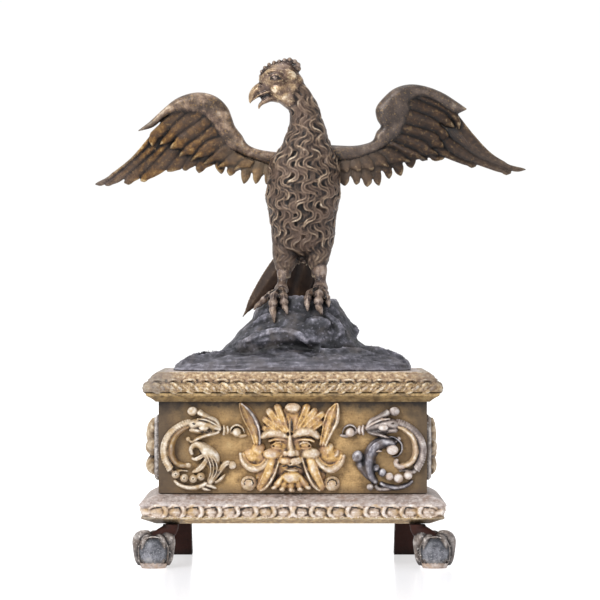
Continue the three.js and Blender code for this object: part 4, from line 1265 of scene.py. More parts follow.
LEFT_WING = Wing(
    "wing_left", -38, WING_WARM, RIM_WARM,
    ((-24, 611, -24, 588), (-46, 614, -44, 595), (-61, 618.5, -60, 601), (-70, 625, -74, 606), (-77, 637, -84, 611),
     (-87, 650, -95, 613), (-92, 664, -104, 623), (-98, 678, -113, 636), (-110, 691, -121, 648),
     (-125, 698.5, -131, 660), (-142, 701, -143, 668), (-160, 698, -158, 667), (-178, 690, -177, 668),
     (-197, 674.5, -193, 663), (-216, 657, -210, 649), (-233.5, 644, -232, 642.5)),
    (((-186, 672), (-217, 634), (-245, 602), (-279, 575.8), (-299, 563)),
     ((-178, 665), (-215, 622), (-250, 590), (-283, 563.5), (-277, 560.5)),
     ((-170, 655), (-208, 612), (-254, 571.5), (-248, 562)), ((-162, 648), (-196, 608), (-230, 572.5), (-224, 566)),
     ((-150, 640), (-170, 610), (-191, 584.5), (-183, 581.5)), ((-138, 632), (-155, 606), (-167, 586.5), (-161, 583)),
     ((-121.5, 622), (-134.5, 604), (-147.5, 590.5), (-141.5, 579.5)),
     ((-96, 618), (-106, 604), (-119, 592.5), (-108, 578)), ((-84, 610), (-92, 597), (-101, 586.5), (-95, 575)),
     ((-70, 605), (-76, 592), (-80, 583.5), (-74, 563)), ((-56, 600), (-60, 588), (-62, 576), (-56, 563)),
     ((-42, 596), (-43, 586), (-44, 575.5), (-40, 562)), ((-28, 596), (-29, 586), (-30, 576), (-29, 566))),
    (((-150, 690), (-166, 677), (-187.5, 663.5), (-208.5, 646), (-218, 633.5), (-211.5, 620)),
     ((-134, 688), (-153, 674), (-172, 658.3), (-189, 641.4), (-200.3, 622)),
     ((-112, 677), (-131, 665), (-151.5, 650.8), (-170.3, 637.6), (-179.6, 628), (-185.3, 616)),
     ((-104, 660), (-122, 650), (-136.5, 637.6), (-155.3, 624.5), (-166.5, 615), (-171.2, 604)),
     ((-94, 640), (-110, 634), (-127, 628.3), (-138.3, 618.8), (-147.8, 607.6), (-153.8, 597)),
     ((-88, 628), (-101, 622), (-112, 615), (-121.5, 607.6), (-134.6, 593)),
     ((-88, 611), (-97, 604), (-104.6, 598.3), (-112.5, 588)),
     ((-71, 602), (-80, 596), (-85.8, 590), (-88, 584)), ((-58, 597), (-62, 592), (-66, 588), (-68, 582))),
)
RIGHT_WING = Wing(
    "wing_right", 66, WING_GREY, RIM_GREY,
    ((52, 622, 52, 594), (88, 620.5, 88, 598), (108, 623.5, 108, 604), (120, 629, 127, 612), (125, 641, 144, 622),
     (131.5, 650, 160, 634), (126, 660, 168, 646), (124, 676, 174, 660), (134, 691, 178, 672), (152, 706.5, 177, 685),
     (175, 713, 190, 693), (200, 710, 202, 691), (225, 700.5, 221, 680), (246, 687.5, 241, 668),
     (262, 676.5, 260, 674.5)),
    (((230, 690), (245.8, 671.4), (269.3, 641.4), (297.4, 611.4), (325.5, 594.5), (352, 585.5)),
     ((190, 684), (234, 635.8), (250.5, 622.6), (280.5, 602), (329, 583.5), (322, 577)),
     ((180, 672), (226.5, 618.9), (250.5, 602), (277, 592.5), (269.5, 587.5)),
     ((168, 655), (210, 612), (230, 602.5), (215, 597.5)), ((160, 640), (190, 612), (204.5, 601.5), (195, 597.5)),
     ((150, 630), (172, 612), (186, 602.5), (179, 587)), ((138, 622), (155, 606), (167, 593.5), (162.5, 575)),
     ((127, 616), (140, 600), (150.5, 583.5), (144.5, 570.5)), ((116, 611), (126, 596), (134, 581.5), (129.5, 560)),
     ((105, 607), (113, 588), (120.5, 569.5), (111.5, 558.5)), ((96, 604), (100, 587), (102.5, 569.5), (95, 561.5)),
     ((84, 602), (86, 588), (87, 572.5), (78, 560)), ((66, 600), (66, 586), (66, 570.5), (62, 564))),
    (((180, 706), (200, 698), (224.3, 684.5), (243.9, 670.4), (252.4, 659.2), (250, 645)),
     ((160, 700), (192, 688), (220.5, 675.1), (233.6, 665.8), (243, 648)),
     ((142, 686), (175, 675), (205.5, 663.9), (222.4, 652.6), (234, 635)),
     ((134, 664), (168, 653), (194.3, 646), (213, 639.5), (222.4, 630), (226.5, 618)),
     ((132, 646), (162, 639), (194.3, 628.3), (209.3, 617), (218.3, 607.5)),
     ((130, 634), (156, 625), (183, 613.3), (194.3, 605.8), (203.3, 598.5)),
     ((142, 618), (158, 611), (172, 602), (177, 596)), ((127, 611), (137, 604), (144, 594), (143, 588)),
     ((112, 606), (119, 598), (123, 590), (119, 583)), ((98, 602), (102, 594), (104, 586), (98, 581)),
     ((84, 600), (86, 592), (86, 586), (80, 580)), ((68, 598), (68, 592), (66, 586), (62, 582))),
)


@dataclass
class Tail(Shells):
    """Smooth dark feathers that hang behind the legs."""

    roots: tuple = ((10, 30, 486), (18, 30, 486), (28, 30, 486), (38, 30, 486))
    tips: tuple = ((-77, 66, 363), (-44, 68, 342), (-8, 69, 338), (30, 68, 350))
    half_widths: tuple = (11.5, 15, 15, 13)
    voxel: float = 1.5
    budget: int = 18_000

    def build(self) -> None:
        """Builds the tail."""
        for index, (root, tip, half) in enumerate(zip(self.roots, self.tips, self.half_widths)):
            line = Curve((root, Vector(root).lerp(Vector(tip), 0.5), tip))
            width = swell(8, half * 1.12, 2)
            taper = lambda t, width=width: width(t) * (1 - 0.75 * ease(0.82, 1.02, t)) + 0.3
            self.sweep(lambda t, line=line, index=index: line(t) + Vector((0, 1.2 * (index % 2), 0)), taper,
                       swell(3.5, 3.2, 1.2), Section.RIDGE, 30, 20)
            self.sweep(lambda t, line=line: line(t) + Vector((0, 1.5, 0)), taper, swell(-3, -2.6, -1.2), Section.MOUND,
                       30, 16)
        piece = self.carve("dark_tail", (TAIL_WOOD,), 16)
        install(piece, "dark_wood", "tail")


# ---- The rock


# Outline of the rock from the plinth up: z, left, right, front, back, squareness
ROCK = ((284.7, -180, 177, -118, 106, 3.2), (295, -173, 175, -117, 104, 2.8), (306, -156, 164, -111, 92, 1.9),
        (309, -111, 156, -104, 84, 1.9), (316, -104, 114, -90, 76, 2.2), (330, -90, 95, -90, 68, 2.3),
        (344, -79, 91, -80, 60, 2.3), (359, -61, 85, -66, 52, 2.3), (374, -56, 74, -58, 44, 2.4),
        (384, -46, 69, -50, 38, 2.4), (391, -28, 65, -40, 32, 2.2))


@dataclass
class Rock(Shells):
    """One carved block: a ledge under the claws, folds below it and low spurs to both sides."""

    fold_middle: float = -12.0
    fold_crest: float = 340.0
    voxel: float = 1.7
    budget: int = 66_000

    def fold(self, x: float, z: float) -> float:
        """Finds how far the great fold and the hollow under it move the face."""
        crest = self.fold_crest - 18 * ((x - self.fold_middle) / 62) ** 2
        return hump(x - self.fold_middle, 62) * (8 * hump(z - crest, 8) - 13 * hump(z - crest + 19, 9))

    def place(self, share: float, angle: float) -> Vector:
        """Finds a point of the rough block.

        Args:
            share: 0 at the bottom and 1 at the top.
            angle: angle round it.

        Returns:
            The point.
        """
        level = share * (len(ROCK) - 1)
        index = min(int(level), len(ROCK) - 2)
        z, left, right, front, back, square = (
            a + (b - a) * (level - index) for a, b in zip(ROCK[index], ROCK[index + 1]))
        power = 2 / square
        cos = math.copysign(abs(math.cos(angle)) ** power, math.cos(angle))
        sin = math.copysign(abs(math.sin(angle)) ** power, math.sin(angle))
        x, y = (left + right) / 2 + cos * (right - left) / 2, (front + back) / 2 + sin * (back - front) / 2
        crag = 2.2 * math.sin(3 * angle + level * 1.9) + 1.6 * math.sin(7 * angle - level * 1.3)
        within = (1 - abs(cos) ** 4) * ease(0, 1, level)
        out = within * crag + ease(0, 0.7, -sin) * self.fold(x, z)
        return Vector((x + out * math.cos(angle), y + out * math.sin(angle), z))

    def front_at(self, x: float, z: float) -> float:
        """Finds the front face of the rough block.

        Args:
            x: place across the block.
            z: height.

        Returns:
            The depth of the face there.
        """
        heights = [row[0] for row in ROCK]
        share = float(np.interp(z, heights, range(len(ROCK)))) / (len(ROCK) - 1)
        rim = [self.place(share, angle) for angle in np.linspace(-math.pi, 0, 61)]
        return min(rim, key=lambda point: abs(point.x - x)).y

    def strands(self) -> None:
        """Carves the folds, the swirl and the broken edges on the front."""
        front = lambda points: Curve([(x, self.front_at(x, z) + 1.0, z) for x, z in points])
        folds = (
            (((-98, 318), (-70, 327), (-45, 338), (-12, 343), (14, 334), (30, 318)), 7, 7),
            (((-150, 300), (-120, 306), (-88, 312), (-60, 318)), 8, 7),
            (((-60, 352), (-40, 362), (-24, 366)), 7, 6),
            (((30, 318), (55, 312), (90, 314), (120, 308)), 7, 6),
            (((46, 368), (62, 356), (70, 342), (62, 330)), 8, 8),
            (((92, 352), (90, 340), (84, 328)), 9, 7),
            (((105, 318), (125, 312), (150, 305), (168, 296)), 9, 7),
            (((-165, 296), (-140, 304), (-115, 310)), 9, 6),
            (((-30, 384), (0, 388), (30, 386), (56, 384)), 9, 6),
        )
        for points, width, rise in folds:
            self.sweep(front(points), swell(width * 0.6, width, width * 0.5), swell(rise * 0.6, rise, rise * 0.5),
                       Section.RIDGE, 22, 14)
        self.ball((36, self.front_at(36, 352) + 5, 352), 17, (1.2, 0.7, 0.8), 0)
        for radius in (6, 11, 16):
            ring = [(70 + radius * 1.25 * math.cos(a), 347 + radius * 0.8 * math.sin(a))
                    for a in (0.4, 1.4, 2.4, 3.4, 4.4, 5.2)]
            self.sweep(front(ring), swell(1.5, 3.2, 1.5), swell(2, 3, 1.5), Section.RIDGE, 20, 10)

    @staticmethod
    def roughness(point: Vector, normal: Vector) -> float:
        """Gives the tooling of the rock: strata low down, soft facets above."""
        broad = noise(point / 17) * 3.0 + noise(point / 7) * 1.3
        layer = abs(noise(Vector((point.x / 30, point.y / 30, point.z / 4.2))))
        low = 1 - ease(300, 322, point.z)
        edge = ease(284.7, 290, point.z)
        top = 1 - ease(384, 390, point.z) * max(normal.z, 0)
        return (0.55 * broad - 3.2 * low * layer + 0.6 * noise(point / 3.2)) * edge * top

    def build(self) -> None:
        """Builds the rock."""
        self.wrap(self.place, 96, 70, 0)
        self.strands()
        piece = self.carve("painted_rock", (ROCK_PAINT,), 24, 2, self.roughness)
        for vert in piece.data.vertices:
            vert.co.z = max(vert.co.z, ROCK[0][0] * METRE)
        install(piece, "painted_rock", "rock")


# ---- The plinth


# Half sizes of the case, and the heights of base, cornice and top, in millimetres
CASE_HALF_WIDTH = 195.8
CASE_HALF_DEPTH = 130.0
BASE_BOTTOM = 63.0
CORNICE_BOTTOM, PLINTH_TOP = 253.6, 284.4


class Side(Enum):
    """A moulded side of the plinth."""

    FRONT = "front"
    LEFT = "left"
    RIGHT = "right"

    def at(self, run: float, out: float, z: float) -> Vector:
        """Finds a point by its place along the side, its distance out from the case and its height."""
        if self is Side.FRONT:
            return Vector((run, -CASE_HALF_DEPTH - out, z))
        sign = -1 if self is Side.LEFT else 1
        return Vector((sign * (CASE_HALF_WIDTH + out), run, z))

    def ends(self, out: float) -> tuple[float, float]:
        """Finds where a mitred member starts and ends at a distance out from the case."""
        if self is Side.FRONT:
            return -CASE_HALF_WIDTH - out, CASE_HALF_WIDTH + out
        return -CASE_HALF_DEPTH - out, CASE_HALF_DEPTH

    @property
    def outward(self) -> Vector:
        """The direction away from the case."""
        return (self.at(0, 1, 0) - self.at(0, 0, 0)).normalized()


@dataclass
class Moulding(Shells):
    """Something carved on profiles that run along the plinth, in so many divisions."""

    divisions = 60

    def moulded(self, side: Side, profile: Points, finish: int, trim: float = 0.15) -> None:
        """Runs a profile along a side, with mitred ends.

        Args:
            side: the side.
            profile: distance out and height of each corner.
            finish: index of the finish.
            trim: what is taken off each end.
        """
        count = len(profile)

        def place(share: float, angle: float) -> Vector:
            """Finds a point of the moulding, mitred at both ends."""
            out, z = profile[round(count * (angle % TAU) / TAU) % count]
            start, end = side.ends(out)
            return side.at(start + trim + (end - start - 2 * trim) * share, out, z)

        self.wrap(place, count, self.divisions, finish)


@dataclass
class BaseMember(Moulding):
    """A member of the base frame: worn slope, a row of lobed leaves and a gilt edge."""

    side: Side
    pitch: float = 26.6
    voxel: float = 1.15
    budget: int = 76_000
    end_budget: int = 30_000

    def leaf(self, run: float, lean: float) -> None:
        """Carves one leaf of the row.

        Args:
            run: place along the side.
            lean: -1 or 1, the way it leans.
        """
        stretch = lean * (1.0 if self.side is Side.FRONT else 1.45)
        out = (self.side.outward + Vector((0, 0, 0.1))).normalized()
        at = lambda points: Curve([self.side.at(run + stretch * x, depth, z) for x, depth, z in points])
        cup = swell(4.0, 8.2, 6.2)
        self.sweep(at(((-11.5, 20.4, 81.5), (-1, 22, 82), (10, 21, 81.5))), cup, swell(2.4, 4.8, 3.4), Section.MOUND,
                   14, 16, out, 0)
        for points, width, rise in (
                (((6, 23, 90.6), (11.6, 24.4, 86), (12.4, 24.2, 79), (6, 22.4, 73)), (2.2, 3.5, 2.2), (2.6, 4.6, 2.6)),
                (((-13, 23, 86), (-4, 24.8, 90.4), (8, 24.4, 90.4)), (1.5, 2.3, 1.8), (2, 3.6, 2.6)),
                (((-13, 21.4, 76), (-3, 22.4, 73.4), (8, 22.4, 73.2)), (1.4, 2.0, 1.7), (1.8, 3, 2.2)),
                (((-7, 22.6, 80), (0, 23.6, 81), (6, 22.8, 80.5)), (0.7, 1.4, 0.7), (4.4, 5.6, 4))):
            self.sweep(at(points), swell(*width), swell(*rise), Section.MOUND, 14, 10, out, 0)
        # Thin dark strands above and below the middle of the leaf are painted shade of its slits
        for points in (((-6, 23, 86.4), (1, 24, 87.6), (7.4, 23.8, 86.6)),
                       ((-4, 22, 76.4), (2, 22.4, 75.6), (7, 22.2, 76.6))):
            self.sweep(at(points), swell(0.4, 1.1, 0.4), swell(2.0, 3.0, 2.0), Section.MOUND, 10, 8, out, 3)

    def build(self) -> None:
        """Builds the member."""
        self.moulded(self.side, ((-18, 63), (0, 63), (12, 70.0), (21.5, 73.5), (23.5, 80), (22.5, 88), (18, 91),
                                 (-18, 95)), 0)
        self.moulded(self.side, ((-18, 80), (22, 86), (28.0, 90.6), (27.0, 92.6), (23.5, 96), (16, 99.8), (8, 103.5),
                                 (0, 105.8), (-18, 106.9)), 1)
        self.moulded(self.side, ((-16, 63.2), (4, 63.1), (14, 67.2), (24.5, 71.2), (25.2, 73.4), (22, 75.4),
                                 (-16, 75.4)), 2)
        start, end = self.side.ends(14 if self.side is Side.FRONT else 4)
        pitch = self.pitch * (1 if self.side is Side.FRONT else 1.5)
        count = round((end - start) / pitch)
        for index in range(count):
            run = start + (index + 0.5) * (end - start) / count
            self.leaf(run, 1.0 if run < 0 else -1.0)
        if self.side is not Side.FRONT:
            self.budget = self.end_budget
        piece = self.carve(f"leaf_base_{self.side.value}",
                           (BARE_GESSO, SMOOTH_GESSO, SPECKLED_GILDING, PAINTED_SHADE), 14)
        install(piece, "worn_gesso", f"base_{self.side.value}")


@dataclass
class TopBoard(Moulding):
    """The top of the plinth with its two carved edge bands."""

    leaf_pair: float = 25.0
    leaf_place: float = 0.42
    leaf_half: float = 8.0
    scallop: float = 23.0
    voxel: float = 1.2
    budget: int = 122_000

    def band(self, side: Side) -> None:
        """Carves the edge of one side.

        Args:
            side: the side.
        """
        self.moulded(side, ((-14, 253.8), (15.5, 253.8), (20.5, 256), (22.3, 260.4), (20.5, 265.4), (16, 268.2),
                            (12.6, 269.6), (-14, 269.6)), 0, 0.0)
        self.moulded(side, ((-14, 262), (11.0, 268), (13.2, 271.4), (12.2, 275.0), (9.0, 279.4), (3.0, 283.8),
                            (1.0, 284.4), (-14, 284.4)), 1, 0.0)
        start, end = side.ends(12)
        pairs = round((end - start) / self.leaf_pair)
        pitch, half = (end - start) / pairs, self.leaf_half
        for index in range(pairs):
            run = start + (index + self.leaf_place) * pitch
            lean = 6.5 if run < 0 else -6.5
            line = Curve([side.at(run - lean, 17.0, 266.8), side.at(run, 20.6, 260.8),
                          side.at(run + lean, 17.4, 254.9)])
            self.sweep(line, swell(0.55 * half, half, 0.5 * half), swell(1.6, 3.0, 1.4), Section.LEAF, 12, 14,
                       side.outward, 0)
            for beside, bold in ((-0.7, 0.6), (-0.05, 0.5), (1.16, 1.7)):
                ridge = Curve([side.at(run - lean + beside * half, 18.2, 266.2),
                               side.at(run + beside * half, 22.0, 260.6),
                               side.at(run + lean + 0.6 * beside * half, 18.4, 255.4)])
                self.sweep(ridge, swell(0.6 * bold, 1.2 * bold, 0.6 * bold), swell(1.4, 2.2 + 0.3 * bold, 1.2),
                           Section.MOUND, 10, 8, side.outward, 1)
        scallops = round((end - start) / self.scallop)
        for index in range(scallops):
            run = start + (index + 0.5) * (end - start) / scallops
            arch = Curve([side.at(run + self.scallop * x, out, z) for x, out, z in (
                (-0.5, 12.4, 268.9), (-0.3, 13.4, 271.6), (0, 13.8, 273.0), (0.3, 13.4, 271.6), (0.5, 12.4, 268.9))])
            self.sweep(arch, swell(1.3, 1.8, 1.3), swell(1.2, 1.9, 1.2), Section.MOUND, 14, 8, side.outward, 1)
            # A thin dark strand under each arch is painted shade of the crack beneath it
            self.sweep(Curve([side.at(run + x, 13.0, z) for x, z in ((-8, 269.2), (0, 270.4), (8, 269.2))]),
                       swell(0.5, 1.4, 0.5), swell(0.6, 0.9, 0.6), Section.MOUND, 10, 8, side.outward, 2)
            for x in (-7.5, 0, 7.5):
                tick = Curve([side.at(run + x, 7.5, 280.4), side.at(run + 0.9 * x, 11.4, 275.6)])
                out = (side.outward + Vector((0, 0, 0.6))).normalized()
                self.sweep(tick, swell(0.8, 2.2, 1.2), swell(0.3, 0.9, 0.4), Section.MOUND, 6, 8, out, 1)

    def build(self) -> None:
        """Builds the board and its bands as one piece."""
        for side in Side:
            self.band(side)
        piece = self.carve("leaf_cornice", (SPECKLED_GILDING, CORNICE_RIDGE, PAINTED_SHADE), 14)
        plank = bmesh.new()
        plank.from_mesh(piece.data)
        cube = bmesh.ops.create_cube(plank, size=1)["verts"]
        low = (Vector((-CASE_HALF_WIDTH + 8, -CASE_HALF_DEPTH + 8, CORNICE_BOTTOM + 0.3)) + PLINTH_IN_ROW) * METRE
        high = (Vector((CASE_HALF_WIDTH - 8, CASE_HALF_DEPTH, PLINTH_TOP)) + PLINTH_IN_ROW) * METRE
        bmesh.ops.scale(plank, vec=high - low, verts=cube)
        bmesh.ops.translate(plank, vec=(high + low) / 2, verts=cube)
        flat = {face for vert in cube for face in vert.link_faces}
        for face in flat:
            face.material_index = 3
            face.smooth = False
        plank.to_mesh(piece.data)
        plank.free()
        piece.data.materials.append(coat(SMOOTH_GESSO))
        install(piece, "worn_gilt", "top_board")


# Depth of the ground of applied ornament: a hair in front of the case
GROUND = -CASE_HALF_DEPTH - 0.3


def drawn(points: Points) -> Curve:
    """Makes a line on the front board from X and Z of its points."""
    return Curve([(x, GROUND, z) for x, z in points])


@dataclass
class Ornament(Shells):
    """Something carved that lies on the front board."""

    def knob(self, x: float, out: float, z: float, radius: float, squash: Sequence[float], finish: int,
             detail: int) -> None:
        """Adds a ball whose middle stands out from the board."""
        self.ball((x, GROUND - out, z), radius, squash, finish, detail)

    def petal(self, stations: Points, rise: Sequence[float], finish: int, ribs: int = 0) -> None:
        """Carves a soft lobe that lies on the front board.

        Args:
            stations: X, Z and half width along its middle.
            rise: its height at the start, in the middle and at the end.
            finish: index of the finish.
            ribs: number of rounded ribs along it.
        """
        path = drawn([station[:2] for station in stations])
        spaced = lambda t: 0.5 - 0.5 * math.cos(math.pi * t)
        line = lambda t: path(spaced(t))
        widths = Curve([(station[2], 0, 0) for station in stations])
        length = sum(math.dist(one[:2], two[:2]) for one, two in zip(stations, stations[1:]))

        def rounded(share: float) -> float:
            """Rounds both ends, share being how far along it is."""
            near = min(share * length / (stations[0][2] + 0.1), (1 - share) * length / (stations[-1][2] + 0.1), 1.0)
            return math.sqrt(max(1 - (1 - near) ** 2, 0.0))

        def half(t: float) -> float:
            """Gives the half width."""
            return max(widths(spaced(t)).x * rounded(spaced(t)), 0.3)

        tall = swell(*rise)
        height = lambda t: tall(spaced(t)) * (0.35 + 0.65 * rounded(spaced(t)))
        steps = 7 * len(stations)
        self.sweep(line, half, height, Section.MOUND, steps, 20, finish=finish)
        for rib in range(ribs):
            across = (2 * rib + 1) / ribs - 1

            def beside(t: float, across: float = across) -> Vector:
                """Finds the middle of a rib."""
                ahead = (line(min(t + 0.01, 1)) - line(max(t - 0.01, 0))).normalized()
                return line(t) + ahead.cross(FRONT) * (0.86 * across * half(t))

            self.sweep(beside, lambda t: 0.8 * half(t) / ribs + 0.3,
                       lambda t, across=across: height(t) * (1.14 - 0.28 * across * across), Section.MOUND, steps, 10,
                       finish=finish)

    def lay(self, name: str, slot: str, node: str, finishes: Sequence[Worn], reach: int, soften: int) -> None:
        """Carves the ornament with its back flat on the board and installs it.

        Args:
            name: name of the piece.
            slot: the record's finish.
            node: the solid that it replaces.
            finishes: its finishes.
            reach: how far the relief looks, in rounds.
            soften: rounds of smoothing.
        """
        piece = self.carve(name, finishes, reach, soften)
        for vert in piece.data.vertices:
            vert.co.y = min(vert.co.y, (GROUND + PLINTH_IN_ROW.y) * METRE)
        install(piece, slot, node)


@dataclass
class Scroll(Ornament):
    """A beast's head with a maned neck that curls round beads and acanthus.

    Its finishes are, in order: mane and head, band, leaves, beads, hollows in painted shade, pale tips.
    """

    side: str
    finishes: tuple[Worn, ...]
    mirror_plane: float = 1.0
    voxel: float = 0.85
    budget: int = 60_000

    MANE, BAND, LEAVES, BEADS, HOLLOWS, TIPS = range(6)

    def head(self) -> None:
        """Carves the head with its fin, jaws, collar and the ball that it reaches for."""
        mane, tips = self.MANE, self.TIPS
        self.petal(((-154, 206, 7), (-140, 208.5, 8), (-127, 207.5, 7.5), (-114, 204, 5.5), (-103, 200, 3)),
                   (12, 15, 9), mane)
        self.petal(((-152, 200, 4), (-138, 199.5, 5.5), (-124, 197.8, 4.5), (-110, 196.5, 2.5)), (9, 11, 7), mane)
        self.petal(((-140, 216, 1.5), (-127, 214.5, 2.6), (-114, 208.8, 2.4), (-103, 201.5, 1.6)), (12, 15, 9), tips)
        self.knob(-129.5, 12, 203.5, 5.4, (1.4, 0.75, 0.85), tips, 10)
        # A dark knob and a dark strand of painted shade stand for the eye and the mouth
        self.knob(-143, 13, 208.5, 2.4, (1.3, 0.7, 0.8), self.HOLLOWS, 8)
        self.petal(((-140, 198.2, 0.8), (-128, 196.4, 1.5), (-116, 197.6, 1.0)), (10.5, 11.5, 9), self.HOLLOWS)
        self.petal(((-104, 202, 2.4), (-112, 211.8, 4), (-122, 216.8, 4.6), (-132, 222, 5), (-140, 227, 5.6)),
                   (10, 12, 12), mane)
        self.knob(-146, 5.5, 226.8, 7.0, (1.1, 0.95, 0.95), mane, 14)
        self.petal(((-106, 198, 2.4), (-114, 194.8, 3.2), (-126.6, 191.8, 3.6), (-137, 187.4, 3.4), (-146, 182.4, 3),
                    (-151, 184.4, 2.4)), (8, 10, 7), mane)
        self.knob(-152.4, 5, 186.6, 3.6, (1, 1, 1), mane, 8)
        for x, high in ((-101, 8), (-96, 6.6)):
            self.petal(((x, 199.5 + high, 1.6), (x + 1.6, 199.5, 3.1), (x, 199.5 - high, 1.6)), (7, 12, 7), tips)
        self.knob(-81.6, 3, 196.2, 6.8, (1, 0.95, 1), tips, 12)
        self.petal(
            ((-91.5, 195, 1.2), (-89, 203, 1.8), (-81.5, 206.8, 2), (-73.5, 203, 1.8), (-70, 195, 1)), (6, 9, 6), mane)
        self.petal(((-96, 199, 2), (-88, 196, 3.6), (-76, 191.5, 3.4), (-66, 192, 1.5)), (4, 6, 4), mane)

    def mane(self) -> None:
        """Carves the neck: a smooth inner band and the hatched mane outside it."""
        outer = ((-144, 210.3), (-158.7, 206.6), (-173.2, 197.2), (-182.5, 184.8), (-186, 171.6), (-184.6, 157.1),
                 (-178, 143.9))
        self.petal(
            [(x, z, half) for (x, z), half in zip(outer, (5, 6.6, 7.2, 7.4, 7.2, 6.2, 4))], (9, 10, 6), self.MANE)
        filler = [(0.965 * x - 5, 0.965 * z + 6, 6) for x, z in outer]
        self.petal(filler, (7, 8, 5), self.MANE)
        line = drawn(outer)
        hatches = 27
        for index in range(hatches):
            share = (index + 0.5) / hatches
            spot = line(share)
            ahead = (line(min(share + FEELER, 1)) - line(max(share - FEELER, 0))).normalized()
            away = ahead.cross(FRONT).normalized()
            away = away if away.dot(Vector((-150, GROUND, 170)) - spot) < 0 else -away
            start, end = spot - away * 4.5 + FRONT * 7, spot + away * 6.8 + ahead * 3.6 + FRONT * 4
            middle = start.lerp(end, 0.5) + FRONT * 2.6 + ahead * 0.8
            self.sweep(Curve((start, middle, end)), swell(1.5, 2.1, 1.0), swell(1.8, 2.6, 1.2), Section.MOUND, 8, 10,
                       finish=self.MANE)
        self.petal(((-150, 204.5, 2.6), (-160.2, 200.1, 4), (-171.1, 190.6, 4.6), (-176.4, 177.5, 4.8),
                    (-176.6, 164.3, 4.8), (-171.6, 153.4, 4.6), (-162.4, 148.2, 4.4), (-153, 147.8, 3.6)),
                   (11, 14, 8), self.BAND)
        if self.side == "right":
            self.petal(
                ((-164, 147.4, 4), (-154, 146.4, 4.4), (-148.4, 151.4, 4), (-151, 158, 2.6)), (9, 11, 8), self.TIPS)
        else:
            self.knob(-152.6, 4.6, 148.2, 4.4, (1.2, 0.9, 0.9), self.TIPS, 10)
        self.petal(
            ((-178, 146, 3), (-173.5, 138.5, 3.6), (-163, 140.5, 2.2), (-152, 139.6, 1.2)), (6, 6, 3), self.MANE)

    def acanthus(self) -> None:
        """Carves the leaf that rises from the foot and curls in, its side bud and its foot spray."""
        leaves, tips = self.LEAVES, self.TIPS
        self.petal(((-173.3, 126.4, 2.4), (-164.5, 119.4, 3.6), (-150, 115.6, 4.4), (-135.4, 117.4, 4.6),
                    (-124, 123, 3.6)), (5, 9, 8), leaves)
        if self.side == "right":
            self.volute()
            return
        self.petal(((-123, 119, 5), (-116.6, 133, 7.6), (-115.4, 147, 10.4), (-119, 159, 12.4), (-126.4, 169, 10),
                    (-134, 176.4, 7), (-142, 178.2, 5), (-147.4, 172.6, 4.2), (-146, 163, 2.2)), (8, 14.5, 8), leaves)
        for shift in (-0.5, 0.0, 0.5):
            self.petal([(x + shift * half, z - 0.4 * shift * half, 0.13 * half + 0.3) for x, z, half in (
                (-121, 126, 4.6), (-116.4, 136, 7), (-115, 147, 9.6), (-119, 159, 11), (-127, 169, 7))],
                       (9, 15.2, 13), tips)
        self.petal(((-121, 168, 2.4), (-127.5, 176, 2.8), (-136, 180.6, 2.8), (-144.6, 179, 2.6), (-149.6, 171, 2.2),
                    (-147.4, 163, 1.4)), (10, 13, 8), tips)
        self.petal(
            ((-124, 160, 3.6), (-130, 149.5, 5.2), (-138, 141.8, 4.6), (-147, 137.6, 1.6)), (11, 10, 5), leaves, 2)
        self.petal(((-127, 166, 3), (-135, 160, 4.4), (-142, 157, 3.4), (-148, 158.5, 1.4)), (11, 9, 5), leaves, 2)
        self.petal(((-115, 127, 2.6), (-106.8, 140, 4.4), (-99, 149.6, 4.8), (-91, 152.4, 4)), (6, 10, 9), leaves, 2)
        self.knob(-88, 6, 148.4, 5.6, (1, 0.9, 1.05), tips, 10)
        self.petal(((-114, 122.6, 2.2), (-105, 128.6, 3.4), (-98, 136.4, 1.2)), (5, 7, 3), leaves)
        for stations in (((-131, 120, 2.4), (-120, 118, 4), (-110.4, 113.6, 1.6)),
                         ((-136, 117, 2.4), (-128, 113.6, 3.6), (-119, 111.6, 1.2))):
            self.petal(stations, (6, 8, 5), tips)

    def volute(self) -> None:
        """Carves the round volute of the right side, with its white tip, its bud and its foot spray."""
        leaves, tips = self.LEAVES, self.TIPS
        self.petal(((-121, 121, 4), (-112.4, 132, 7), (-108.4, 146, 9.2), (-110, 161, 9.8), (-116.6, 173.4, 10),
                    (-128, 180.6, 9.4), (-140, 180, 8.4), (-146.4, 173, 6)), (9, 15, 13), leaves)
        self.petal(((-109.6, 131, 1.2), (-104.6, 146, 1.5), (-106, 162, 1.6), (-113.4, 177, 1.6), (-127, 185.6, 1.5),
                    (-141, 185, 1.3)), (10, 14, 12), leaves)
        self.petal(((-133, 190, 1), (-146, 188.6, 2), (-155.4, 180.6, 2.4), (-156.6, 170.6, 2.2), (-151, 162.4, 1.8),
                    (-142.6, 160.4, 1)), (8, 10, 6), leaves)
        self.knob(-143, 10.5, 171, 8, (1.08, 0.8, 0.92), tips, 14)
        self.petal(((-117, 167, 1), (-122, 169.2, 1.8), (-128.6, 168.6, 1)), (11, 13, 9), tips)
        self.knob(-92.8, 6, 161, 8.6, (1, 0.86, 1.05), leaves, 16)
        self.petal(((-93.4, 157, 7), (-99, 144, 6), (-108, 132, 4.6), (-118, 123, 2.6)), (11, 9, 6), leaves)
        self.knob(-110.6, 4, 116.4, 5.2, (1, 0.9, 1), self.MANE, 12)
        self.petal(((-118, 119, 3), (-124, 113.6, 3.6), (-140, 114, 3.2), (-158, 116, 1.6)), (7, 8, 5), self.MANE)

